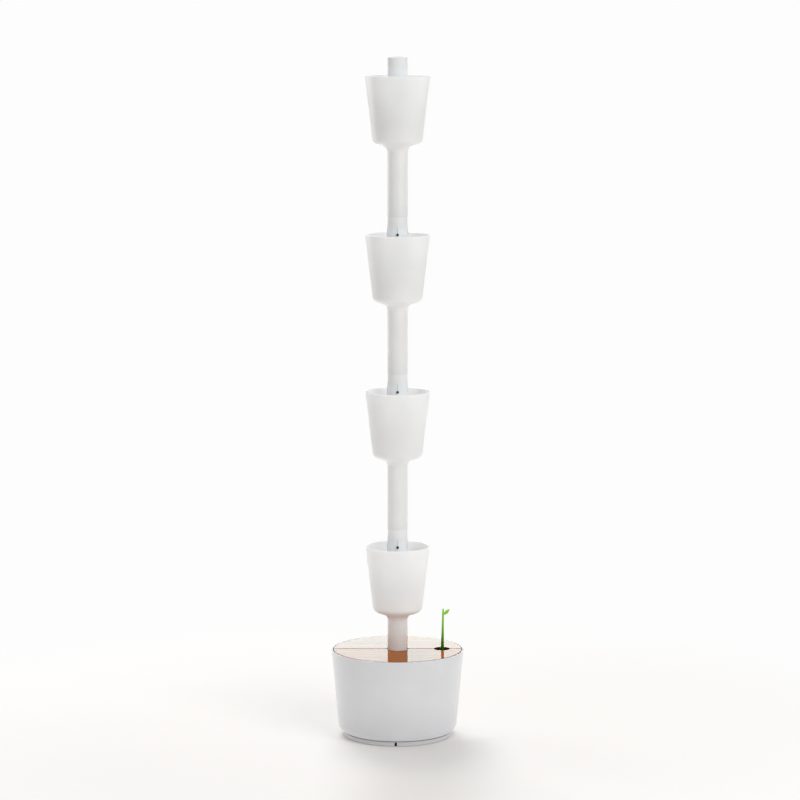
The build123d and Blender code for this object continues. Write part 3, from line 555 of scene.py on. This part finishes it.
def soft_rubber(name, rgb, colours, sizes, roughness):
    """Rubber with a fine grain and a trace of talc."""
    material, tree, surface = new_finish(name, IOR=1.5)
    grain = grained(tree, rgb, sizes.rubber_grain, roughness, shade=0.15, gloss_change=0.2)
    talc = effect(tree, settled_dust, grain, Dust=colours.dust, Amount=0.12)
    set_surface(tree, surface, talc, grain["Height"], sizes.rubber_grain * RUBBER_DEPTH)
    return material


def varnished_wood(colours, sizes):
    """Glued staves of wood under a gloss varnish, with the grain along X."""
    material, tree, surface = new_finish(
        "varnished_wood", IOR=1.4, Specular_IOR_Level=0.0, Coat_IOR=1.36, Coat_Roughness=0.02
    )

    # Each stave shows its own stretch of wood
    place = object_place(tree)
    along = split(tree, place)
    stave = maths(tree, "DIVIDE", along["Y"], sizes.stave_width)
    number = maths(tree, "FLOOR", stave)
    pick = add(tree, "ShaderNodeTexWhiteNoise", {"W": number}, noise_dimensions="1D").outputs
    furthest = 2.0
    own = vector_maths(tree, "ADD", place, scaled(tree, pick["Color"], furthest))

    # Growth bands, fibres and the stave's own tint
    bands = stretched(tree, own, (sizes.grain_length, sizes.grain_width, sizes.grain_width * 3.0))
    growth = noise(tree, bands, detail=5.0, roughness=0.55, distortion=0.6)
    threads = stretched(tree, own, (sizes.grain_length / 4.0, sizes.grain_width / 9.0, sizes.fibre_depth))
    fibre = noise(tree, threads, detail=3.0)
    bright = ramped(tree, growth, low=0.30, high=0.68)
    wood = mixed(tree, bright, colours.wood_dark, colours.wood_pale)
    dark = ramped(tree, fibre, low=0.35, high=0.75, end=0.35)
    wood = mixed(tree, dark, wood, colours.wood_dark)
    wood = scaled(tree, wood, ramped(tree, pick["Value"], low=0.0, high=1.0, start=0.94, end=1.05))

    # Pores and the glue lines between the staves
    dashes = stretched(tree, own, (sizes.pore_length, sizes.pore_width, sizes.pore_width))
    pore = ramped(tree, noise(tree, dashes, detail=1.0), low=0.62, high=0.70)
    pore_darkness = 0.5
    wood = mixed(tree, product(tree, pore, pore_darkness), wood, colours.wood_pore)
    line = size_of(tree, maths(tree, "SUBTRACT", stave, maths(tree, "ROUND", stave)))
    glue = ramped(tree, line, low=sizes.stave_line / sizes.stave_width, high=0.0, end=0.35)
    wood = mixed(tree, glue, wood, colours.wood_pore)

    # Sawn edges, with painted shade that makes them darkest in the holes, and the seam's bare bevels
    side = ramped(tree, size_of(tree, facing_up(tree)), low=0.75, high=0.25)
    cut_and_hole_shade = ramped(tree, from_axis(tree, along), holes_reach, rim_reach, start=0.9, end=0.2)
    wood = mixed(tree, product(tree, side, cut_and_hole_shade), wood, colours.wood_cut)
    from_seam = size_of(tree, along["Y"])
    bare = sizes.seam_bevel * 0.6
    seam = ramped(tree, from_seam, sizes.seam_bevel, bare, end=0.5)
    wood = mixed(tree, seam, wood, colours.wood_cut)
    varnish = ramped(tree, from_seam, bare, sizes.seam_bevel, end=sizes.varnish)
    tree.links.new(varnish, surface.inputs["Coat Weight"])

    rough = ramped(tree, growth, low=0.2, high=0.8, start=0.42, end=0.55)
    fibre_height = 0.25
    height = maths(tree, "SUBTRACT", product(tree, fibre, fibre_height), pore)
    set_surface(tree, surface, {"Colour": wood, "Roughness": rough}, height, depth=0.00004)
    return material


def sprout_stem_plastic(colours, sizes):
    """Green plastic that pales from the sprout's foot to its tip."""
    material, tree, surface = new_finish("sprout_green", IOR=1.48, Specular_IOR_Level=0.12)
    up = split(tree, object_place(tree))["Z"]
    paled = lid_high.z + sizes.green_rise * (stem_high.z - lid_high.z)
    green = mixed(tree, ramped(tree, up, lid_high.z, paled), colours.stem_foot, colours.stem_tip)
    streak = effect(tree, drawn_streaks, Width=sizes.streak_width, Length=sizes.stem_fibre)["Streaks"]
    fibres = shaded(tree, green, streak, contrast=0.18)
    grain = grained(tree, fibres, sizes.moulded_grain, roughness=0.45, shade=0.06)
    set_surface(tree, surface, grain, streak, depth=0.00006)
    return material


def leaf_plastic(colours, sizes):
    """Bright green leaf with a pale midrib and slanting side veins."""
    material, tree, surface = new_finish("leaf_green", IOR=1.48, Specular_IOR_Level=0.12)
    vein_count, vein_slant = 9.0, -3.0
    root, direction, sideways, reach = leaf_frame(sizes)
    offset = vector_maths(tree, "SUBTRACT", object_place(tree), root)
    run = vector_maths(tree, "DOT_PRODUCT", offset, direction)
    off = size_of(tree, vector_maths(tree, "DOT_PRODUCT", offset, sideways))
    off_rib = maths(tree, "DIVIDE", off, sizes.leaf_width)
    rib = ramped(tree, off_rib, low=0.07, high=0.0)
    passed = product(tree, run, vein_count / reach)
    slanted = maths(tree, "ADD", passed, product(tree, off_rib, vein_slant))
    off_vein = size_of(tree, maths(tree, "SUBTRACT", maths(tree, "FRACT", slanted), 0.5))
    veins = ramped(tree, off_vein, low=0.09, high=0.0, end=0.55)
    lines = maths(tree, "MAXIMUM", rib, veins)
    green = mixed(tree, lines, colours.leaf, colours.leaf_vein)
    grain = grained(tree, green, sizes.moulded_grain, roughness=0.34, shade=0.12)
    set_surface(tree, surface, grain, lines, depth=0.0001)
    return material


def closed_foam(colours, sizes):
    """Cut foam with small closed cells, with painted shade in their hollows."""
    material, tree, surface = new_finish("float_foam", IOR=1.4)
    spacing = {"Vector": object_place(tree), "Scale": 1.0 / sizes.foam_cell}
    cells = add(tree, "ShaderNodeTexVoronoi", spacing, feature="F1").outputs["Distance"]
    wall = ramped(tree, cells, low=0.1, high=0.7)
    cell_painted_shade = 0.72
    foam = mixed(tree, wall, [part * cell_painted_shade for part in colours.foam], colours.foam)
    grain = grained(tree, foam, sizes.moulded_grain, roughness=0.75, shade=0.05, gloss_change=0.1)
    set_surface(tree, surface, grain, wall, depth=0.0003)
    return material


def circuit_board(colours, sizes):
    """Green lacquer over tracks, with a dark chip and switch standing on it."""
    material, tree, surface = new_finish("circuit_board", IOR=1.5)
    place = object_place(tree)
    axes = split(tree, place)
    gates = noise(tree, place, scale=70.0, detail=1.0)
    runs = []
    for axis, low, high in (("X", 0.35, 0.5), ("Y", 0.65, 0.5)):
        step = maths(tree, "FRACT", maths(tree, "DIVIDE", axes[axis], sizes.track_pitch))
        line = ramped(tree, size_of(tree, maths(tree, "SUBTRACT", step, 0.5)), low=0.2, high=0.14)
        runs.append(product(tree, line, ramped(tree, gates, low, high)))
    tracks = maths(tree, "MAXIMUM", *runs)
    lacquer = mixed(tree, tracks, colours.board, colours.track)
    face = board_low.z + sizes.board_thickness
    edge = 0.0003
    rgb = mixed(tree, ramped(tree, axes["Z"], face, face + edge), lacquer, colours.black)
    grain = grained(tree, rgb, sizes.moulded_grain, roughness=0.35, shade=0.06)
    set_surface(tree, surface, grain, tracks, depth=0.00005)
    return material


def cell_sleeve(colours, sizes):
    """Plain cell: a dark sleeve, a copper band and bare ends."""
    material, tree, surface = new_finish("cell_sleeve", IOR=1.5)
    height = share_of_height(tree)
    band = ramped(tree, height, *CELL_BAND)
    bare = maths(tree, "MAXIMUM", ramped(tree, height, *CELL_FOOT), ramped(tree, height, *CELL_TOP))
    rgb = mixed(tree, band, colours.cell, colours.cell_band)
    rgb = mixed(tree, bare, rgb, colours.steel)
    grain = grained(tree, rgb, sizes.moulded_grain, roughness=0.28, shade=0.05)
    set_surface(tree, surface, grain, grain["Height"], depth=0.00002)
    band_metal = 0.6
    metal = maths(tree, "MAXIMUM", bare, product(tree, band, band_metal))
    tree.links.new(metal, surface.inputs["Metallic"])
    return material


def dress(**finishes):
    """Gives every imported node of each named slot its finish."""
    for slot, material in finishes.items():
        for node in slot_nodes[slot]:
            node.material_slots[0].material = material


# Modelled pieces

def new_piece(name, mesh, body, stands_for, material):
    """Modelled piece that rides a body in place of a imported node."""
    piece = bpy.data.objects.new(name, mesh)
    bpy.context.scene.collection.objects.link(piece)
    mesh.materials.append(material)
    for face in mesh.polygons:
        face.use_smooth = True
    smooth = piece.modifiers.new("smooth", "SUBSURF")
    smooth.levels = smooth.render_levels = 2
    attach(piece, body)
    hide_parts(stands_for)


def skinned(rings):
    """Closed mesh over a row of rings, with a point at each end."""
    mesh = bpy.data.meshes.new("skin")
    build = bmesh.new()
    rows = [[build.verts.new(point) for point in ring] for ring in rings]
    for near, far in zip(rows, rows[1:]):
        for i in range(len(near)):
            j = (i + 1) % len(near)
            build.faces.new((near[i], near[j], far[j], far[i]))
    for ring, flip in ((rows[0], True), (rows[-1], False)):
        middle = build.verts.new(sum((v.co for v in ring), Vector()) / len(ring))
        for i in range(len(ring)):
            j = (i + 1) % len(ring)
            corners = (ring[j], ring[i], middle) if flip else (ring[i], ring[j], middle)
            build.faces.new(corners)
    bmesh.ops.recalc_face_normals(build, faces=build.faces)
    build.to_mesh(mesh)
    build.free()
    return mesh


def sprout_x(z, sizes):
    """Middle of the sprout's stem at a height: above the float it leans to the right."""
    rise = max(0.0, (z - float_high.z) / (stem_high.z - float_high.z))
    return sprout_axis.x + sizes.stem_lean * rise


def sprout_stem_mesh(sizes):
    """Rod through the float, then a flattened stem that thins to a rounded tip above the leaf."""
    sides, steps = 16, 14
    neck = 0.0004
    joint_height = 0.0035
    under_lid = lid_high.z - 0.004
    flat_start = lid_high.z - 0.005
    rounded_end, shoulder, rounded_tip = 0.9, 0.96, 0.82
    foot = (stem_high.x - stem_low.x) / 2
    joint, tip = leaf_low.z, stem_high.z
    rod = sizes.rod_radius
    stations = [
        (stem_low.z, rod * rounded_end),
        (stem_low.z + neck, rod),
        (float_high.z - neck, rod),
        (float_high.z + neck, foot * shoulder),
        (float_high.z + 3 * neck, foot),
        (under_lid, foot),
    ]
    for i in range(steps + 1):
        t = i / steps
        z = lid_high.z + (tip - neck - lid_high.z) * t
        radius = foot + (sizes.tip_radius - foot) * t
        swell = math.exp(-(((z - joint) / joint_height) ** 2))
        stations.append((z, radius * (1.0 + sizes.node_swell * swell)))
    stations.append((tip - neck / 4, sizes.tip_radius * rounded_tip))

    turns = [2 * math.pi * i / sides for i in range(sides)]
    rings = []
    for z, radius in stations:
        x, y = sprout_x(z, sizes), sprout_axis.y
        deep = radius * (1.0 - sizes.stem_oval) if z > flat_start else radius
        ring = [(x + radius * math.cos(turn), y + deep * math.sin(turn), z) for turn in turns]
        rings.append(ring)
    return skinned(rings)


def leaf_frame(sizes):
    """Leaf's root, the ways along and across its blade, and its length."""
    root = Vector((sprout_x(leaf_low.z, sizes), sprout_axis.y, leaf_low.z))
    tip = Vector((leaf_high.x + sizes.stem_lean, sprout_axis.y, leaf_high.z))
    direction = (tip - root).normalized()
    return root, direction, Vector((0, 1, 0)).cross(direction), (tip - root).length


def leaf_mesh(sizes):
    """Pointed blade on a short stalk, bowed and thick along its midrib."""
    steps = 14
    stalk = 0.05
    stalk_half = 0.0007
    stalk_taper, rib_taper = 0.7, 0.65
    widest_shift, roundness = 0.8, 0.85
    outer, inner = 0.72, 0.32
    start, length_wise, width_wise, reach = leaf_frame(sizes)
    out = Vector((0, -1, 0))
    half_thick = (leaf_high.y - leaf_low.y) / 2
    half_wide = sizes.leaf_width / 2
    half_edge = sizes.leaf_edge / 2
    rings = []
    for i in range(steps + 1):
        t = i / steps
        blade = max(0.0, (t - stalk) / (1.0 - stalk))
        bulge = math.sin(math.pi * blade ** widest_shift) ** roundness if 0 < blade < 1 else 0.0
        wide = max(half_wide * bulge, stalk_half * (1.0 - stalk_taper * t))
        thick = max(half_thick * (1.0 - rib_taper * t), half_edge)
        edge = min(half_edge, thick)
        bow = sizes.leaf_bend * math.sin(math.pi * t)
        spine = start + length_wise * (reach * (stalk + (1.0 - stalk) * t)) + width_wise * bow
        ridge, hollow, groove = edge * 1.25, -edge * 1.1, -edge * 0.7
        front = [(-outer, edge), (-inner, ridge), (0.0, thick), (inner, ridge), (outer, edge)]
        back = [(outer, -edge), (inner, hollow), (0.0, groove), (-inner, hollow), (-outer, -edge)]
        section = [(-1.0, 0.0), *front, (1.0, 0.0), *back]
        rings.append([spine + width_wise * (wide * across) + out * up for across, up in section])
    return skinned(rings)


# Studio

def new_lamp(name, place, aim, power, size, width=None):
    """Soft square or oblong lamp that looks at a point and stays out of the picture."""
    lamp = bpy.data.lights.new(name, "AREA")
    lamp.energy = power
    lamp.shape = "RECTANGLE" if width else "SQUARE"
    lamp.size = width or size
    lamp.size_y = size
    holder = bpy.data.objects.new(name, lamp)
    holder.location = place
    holder.rotation_euler = (Vector(aim) - Vector(place)).to_track_quat("-Z", "Y").to_euler()
    holder.visible_camera = False
    bpy.context.scene.collection.objects.link(holder)
    return holder


def new_panel(name, place, power, tint, height, width):
    """Tinted panel behind the planter that only gloss shows, such as the lid's varnish."""
    panel = new_lamp(name, place, (0.0, 0.0, lid_high.z), power, height, width)
    panel.data.color = tint
    panel.visible_diffuse = False


def seen_rays(tree):
    """1 for what the eye sees, straight, mirrored or through glass."""
    path = add(tree, "ShaderNodeLightPath").outputs
    mirrored = maths(tree, "MAXIMUM", path["Is Glossy Ray"], path["Is Transmission Ray"])
    return maths(tree, "MAXIMUM", path["Is Camera Ray"], mirrored)


def white_world(studio):
    """World that lights softly from all round and shows as plain white."""
    world = bpy.data.worlds.new("studio")
    world.use_nodes = True
    tree = world.node_tree
    tree.nodes.clear()
    soft = add(tree, "ShaderNodeBackground", {"Color": [studio.ambient] * 3})
    white = add(tree, "ShaderNodeBackground", {"Color": [studio.backdrop] * 3})
    both = add(tree, "ShaderNodeMixShader", {0: seen_rays(tree), 1: soft.outputs[0], 2: white.outputs[0]})
    add(tree, "ShaderNodeOutputWorld", {"Surface": both.outputs[0]})
    bpy.context.scene.world = world


def floor_finish(studio):
    """Pale floor that keeps the planter's soft shade and fades to plain white further out."""
    material, tree, surface = new_finish("studio_floor", Specular_IOR_Level=0.0, Roughness=0.8)
    place = object_place(tree)
    axes = split(tree, place)
    reach = from_axis(tree, axes)
    seen = seen_rays(tree)

    # Faint speckle, and painted shade under the foot ring's edge
    speckle = ramped(tree, noise(tree, place, scale=300.0), low=0.2, high=0.8, start=0.99, end=1.01)
    under = ramped(tree, reach, foot_edge - studio.foot_shade, foot_edge, start=0.05)
    tone = scaled(tree, studio.floor, product(tree, speckle, under))
    tree.links.new(tone, surface.inputs["Base Color"])

    # Painted light: white round the planter for what is seen, left out where the shadow falls in front,
    # which gives that shadow its shape
    near = ramped(tree, reach, studio.lift_near, studio.lift_far, end=studio.floor_lift)
    behind = ramped(tree, axes["Y"], -studio.lift_front, 0.0)
    off_shade = size_of(tree, maths(tree, "SUBTRACT", axes["X"], studio.shade_side))
    beside = ramped(tree, off_shade, studio.shade_core, studio.shade_edge)
    strength = product(tree, near, maths(tree, "MAXIMUM", behind, beside), seen)
    lift = add(tree, "ShaderNodeEmission", {"Strength": strength})
    lit = add(tree, "ShaderNodeAddShader", {0: surface.outputs[0], 1: lift.outputs[0]})

    # Plain white far from the planter
    white = add(tree, "ShaderNodeEmission", {"Color": [studio.backdrop] * 3})
    away = product(tree, ramped(tree, reach, studio.shade_near, studio.shade_far), seen)
    both = add(tree, "ShaderNodeMixShader", {0: away, 1: lit.outputs[0], 2: white.outputs[0]})
    tree.links.new(both.outputs[0], tree.nodes["Material Output"].inputs["Surface"])
    return material


def new_floor(studio):
    """Round floor under the foot ring."""
    mesh = bpy.data.meshes.new("floor")
    build = bmesh.new()
    bmesh.ops.create_circle(build, cap_ends=True, segments=96, radius=studio.floor_reach)
    build.to_mesh(mesh)
    build.free()
    mesh.materials.append(floor_finish(studio))
    floor = bpy.data.objects.new("floor", mesh)
    floor.location.z = cad_box[0][2] - studio.floor_drop
    bpy.context.scene.collection.objects.link(floor)


def new_camera(studio):
    """Camera at the photograph's viewing angle."""
    lens = bpy.data.cameras.new("camera")
    lens.sensor_width = SENSOR_WIDTH
    lens.lens = studio.camera_lens
    camera = bpy.data.objects.new("camera", lens)
    camera.location = (studio.camera_side, -studio.camera_distance, studio.camera_height)
    camera.rotation_euler = (math.pi / 2 - studio.camera_tilt, 0.0, 0.0)
    bpy.context.scene.collection.objects.link(camera)
    bpy.context.scene.camera = camera


# Operators

class PlanterStep:
    """What all steps share: the settings, and a run that raises where it can't finish."""

    bl_options = {"REGISTER"}

    def execute(self, context):
        scene = context.scene
        self.make(scene.planter_colours, scene.planter_sizes, scene.planter_studio)
        return {"FINISHED"}


class PLANTER_OT_pots(PlanterStep, Operator):
    """Satin white plastic for the pots and their stems"""

    bl_idname = "planter.pots"
    bl_label = "Pots"

    def make(self, colours, sizes, studio):
        plastic = moulded_plastic(
            "pot_plastic", colours.pot, colours, sizes, roughness=0.36, dusty=0.05, rim=RIM_START,
            glow=GLOW_START, painted_shading=partial(pot_shades, colours=colours),
        )
        dress(pot_plastic=plastic)


class PLANTER_OT_sleeves(PlanterStep, Operator):
    """Cool white drawn plastic for the sleeves, the base socket and the cap"""

    bl_idname = "planter.sleeves"
    bl_label = "Sleeves and cap"

    def make(self, colours, sizes, studio):
        plastic = drawn_tube(
            "sleeve_plastic", colours.sleeve, sizes, roughness=0.6, contrast=0.015, specular=0.4,
            painted_shading=partial(sleeve_shades, colours=colours, sizes=sizes),
        )
        dress(sleeve_plastic=plastic)


class PLANTER_OT_tank(PlanterStep, Operator):
    """Cool white plastic for the tank and pale grey plastic for its foot ring"""

    bl_idname = "planter.tank"
    bl_label = "Tank and foot"

    def make(self, colours, sizes, studio):
        plastic = moulded_plastic(
            "tank_plastic", colours.tank, colours, sizes, roughness=0.34, dusty=0.05, rim=RIM_START,
            painted_shading=partial(tank_shades, colours=colours),
        )
        foot = moulded_plastic("foot_plastic", colours.foot, colours, sizes, roughness=0.42, dusty=0.05)
        dress(tank_plastic=plastic, foot_plastic=foot)


class PLANTER_OT_lid(PlanterStep, Operator):
    """Varnished wood for the two halves of the lid"""

    bl_idname = "planter.lid"
    bl_label = "Lid"

    def make(self, colours, sizes, studio):
        dress(lid_wood=varnished_wood(colours, sizes))


class PLANTER_OT_sprout(PlanterStep, Operator):
    """Modelled stem and leaf of the sprout on the float gauge"""

    bl_idname = "planter.sprout"
    bl_label = "Sprout"

    def make(self, colours, sizes, studio):
        stem_green = sprout_stem_plastic(colours, sizes)
        leaf_green = leaf_plastic(colours, sizes)
        new_piece("sprout_stem", sprout_stem_mesh(sizes), "gauge", "gauge_stem", stem_green)
        new_piece("sprout_leaf", leaf_mesh(sizes), "gauge", "gauge_leaf", leaf_green)
        dress(sprout_stem=stem_green, sprout_leaf=leaf_green)


class PLANTER_OT_float(PlanterStep, Operator):
    """Closed foam for the float"""

    bl_idname = "planter.float"
    bl_label = "Float"

    def make(self, colours, sizes, studio):
        dress(float_foam=closed_foam(colours, sizes))


class PLANTER_OT_moulded(PlanterStep, Operator):
    """Black and grey moulded plastic for the inner fittings"""

    bl_idname = "planter.moulded"
    bl_label = "Moulded fittings"

    def make(self, colours, sizes, studio):
        black = moulded_plastic(
            "black_plastic", colours.black, colours, sizes, roughness=0.5, shade=0.2, dusty=0.02
        )
        grey = moulded_plastic(
            "grey_plastic", colours.grey, colours, sizes, roughness=0.42, shade=0.05, dusty=0.1
        )
        dress(black_plastic=black, grey_plastic=grey)


class PLANTER_OT_water(PlanterStep, Operator):
    """Milky pipes and rubber seals of the water line"""

    bl_idname = "planter.water"
    bl_label = "Water line"

    def make(self, colours, sizes, studio):
        pipe = drawn_tube("pipe_plastic", colours.pipe, sizes, roughness=0.3)
        rubber = soft_rubber("seal_rubber", colours.rubber, colours, sizes, roughness=0.6)
        dress(pipe_plastic=pipe, seal_rubber=rubber)


class PLANTER_OT_motor(PlanterStep, Operator):
    """Coated can of the pump's motor"""

    bl_idname = "planter.motor"
    bl_label = "Motor"

    def make(self, colours, sizes, studio):
        can = drawn_tube("motor_can", colours.can, sizes, roughness=0.35, metallic=0.6, contrast=0.12)
        dress(motor_can=can)


class PLANTER_OT_controls(PlanterStep, Operator):
    """Board, cells, button and lead of the control unit"""

    bl_idname = "planter.controls"
    bl_label = "Control unit"

    def make(self, colours, sizes, studio):
        dress(board=circuit_board(colours, sizes), cell_case=cell_sleeve(colours, sizes))
        button = moulded_plastic(
            "button_plastic", colours.button, colours, sizes, roughness=0.45, shade=0.06
        )
        lead = soft_rubber("lead_sheath", colours.lead, colours, sizes, roughness=0.5)
        dress(button_plastic=button, lead_sheath=lead)


class PLANTER_OT_screws(PlanterStep, Operator):
    """Brushed stainless steel for the screws"""

    bl_idname = "planter.screws"
    bl_label = "Screws"

    def make(self, colours, sizes, studio):
        steel = drawn_tube("screw_steel", colours.steel, sizes, roughness=0.25, metallic=1.0, contrast=0.1)
        dress(screw_steel=steel)


class PLANTER_OT_stage(PlanterStep, Operator):
    """Pale floor, soft lamps, white surroundings and the camera"""

    bl_idname = "planter.stage"
    bl_label = "Studio"

    def make(self, colours, sizes, studio):
        floor_z, top_z = cad_box[0][2], cad_box[1][2]
        middle = (0.0, 0.0, (floor_z + top_z) / 2)
        on_floor = (0.0, 0.0, floor_z + studio.bounce_rise)
        new_floor(studio)
        white_world(studio)
        new_lamp("key_lamp", studio.key_place, middle, studio.key_power, studio.key_size)
        new_lamp("fill_lamp", studio.fill_place, middle, studio.fill_power, studio.fill_size)
        new_lamp("side_lamp", studio.side_place, middle, studio.side_power, studio.side_size)
        new_lamp("bounce_lamp", on_floor, middle, studio.bounce_power, studio.bounce_width)
        new_panel(
            "rear_panel", studio.panel_place, studio.panel_power, studio.panel_tint,
            studio.panel_height, studio.panel_width,
        )
        new_panel(
            "low_panel", studio.low_panel_place, studio.low_panel_power, studio.low_panel_tint,
            studio.low_panel_height, studio.panel_width,
        )
        new_camera(studio)
        bpy.context.scene.view_settings.view_transform = "Standard"


STEPS = (
    PLANTER_OT_pots, PLANTER_OT_sleeves, PLANTER_OT_tank, PLANTER_OT_lid, PLANTER_OT_sprout,
    PLANTER_OT_float, PLANTER_OT_moulded, PLANTER_OT_water, PLANTER_OT_motor, PLANTER_OT_controls,
    PLANTER_OT_screws, PLANTER_OT_stage,
)


class PLANTER_PT_steps(Panel):
    """Lists the planter's steps in the sidebar."""

    bl_idname = "PLANTER_PT_steps"
    bl_label = "Vertical planter"
    bl_space_type = "VIEW_3D"
    bl_region_type = "UI"
    bl_category = "Planter"

    def draw(self, context):
        for step in STEPS:
            self.layout.operator(step.bl_idname, text=step.bl_label)


SETTINGS = {
    "planter_colours": PlanterColours,
    "planter_sizes": PlanterSizes,
    "planter_studio": PlanterStudio,
}
CLASSES = (*SETTINGS.values(), *STEPS, PLANTER_PT_steps)


def register():
    """Registers the settings, steps and panel."""
    for cls in CLASSES:
        bpy.utils.register_class(cls)
    for name, group in SETTINGS.items():
        setattr(bpy.types.Scene, name, PointerProperty(type=group))


def unregister():
    """Takes the settings, steps and panel away again."""
    for name in SETTINGS:
        delattr(bpy.types.Scene, name)
    for cls in reversed(CLASSES):
        bpy.utils.unregister_class(cls)


def main():
    """Runs every step in order."""
    register()
    for step in STEPS:
        group, name = step.bl_idname.split(".")
        getattr(getattr(bpy.ops, group), name)()


if __name__ == "__main__":
    main()
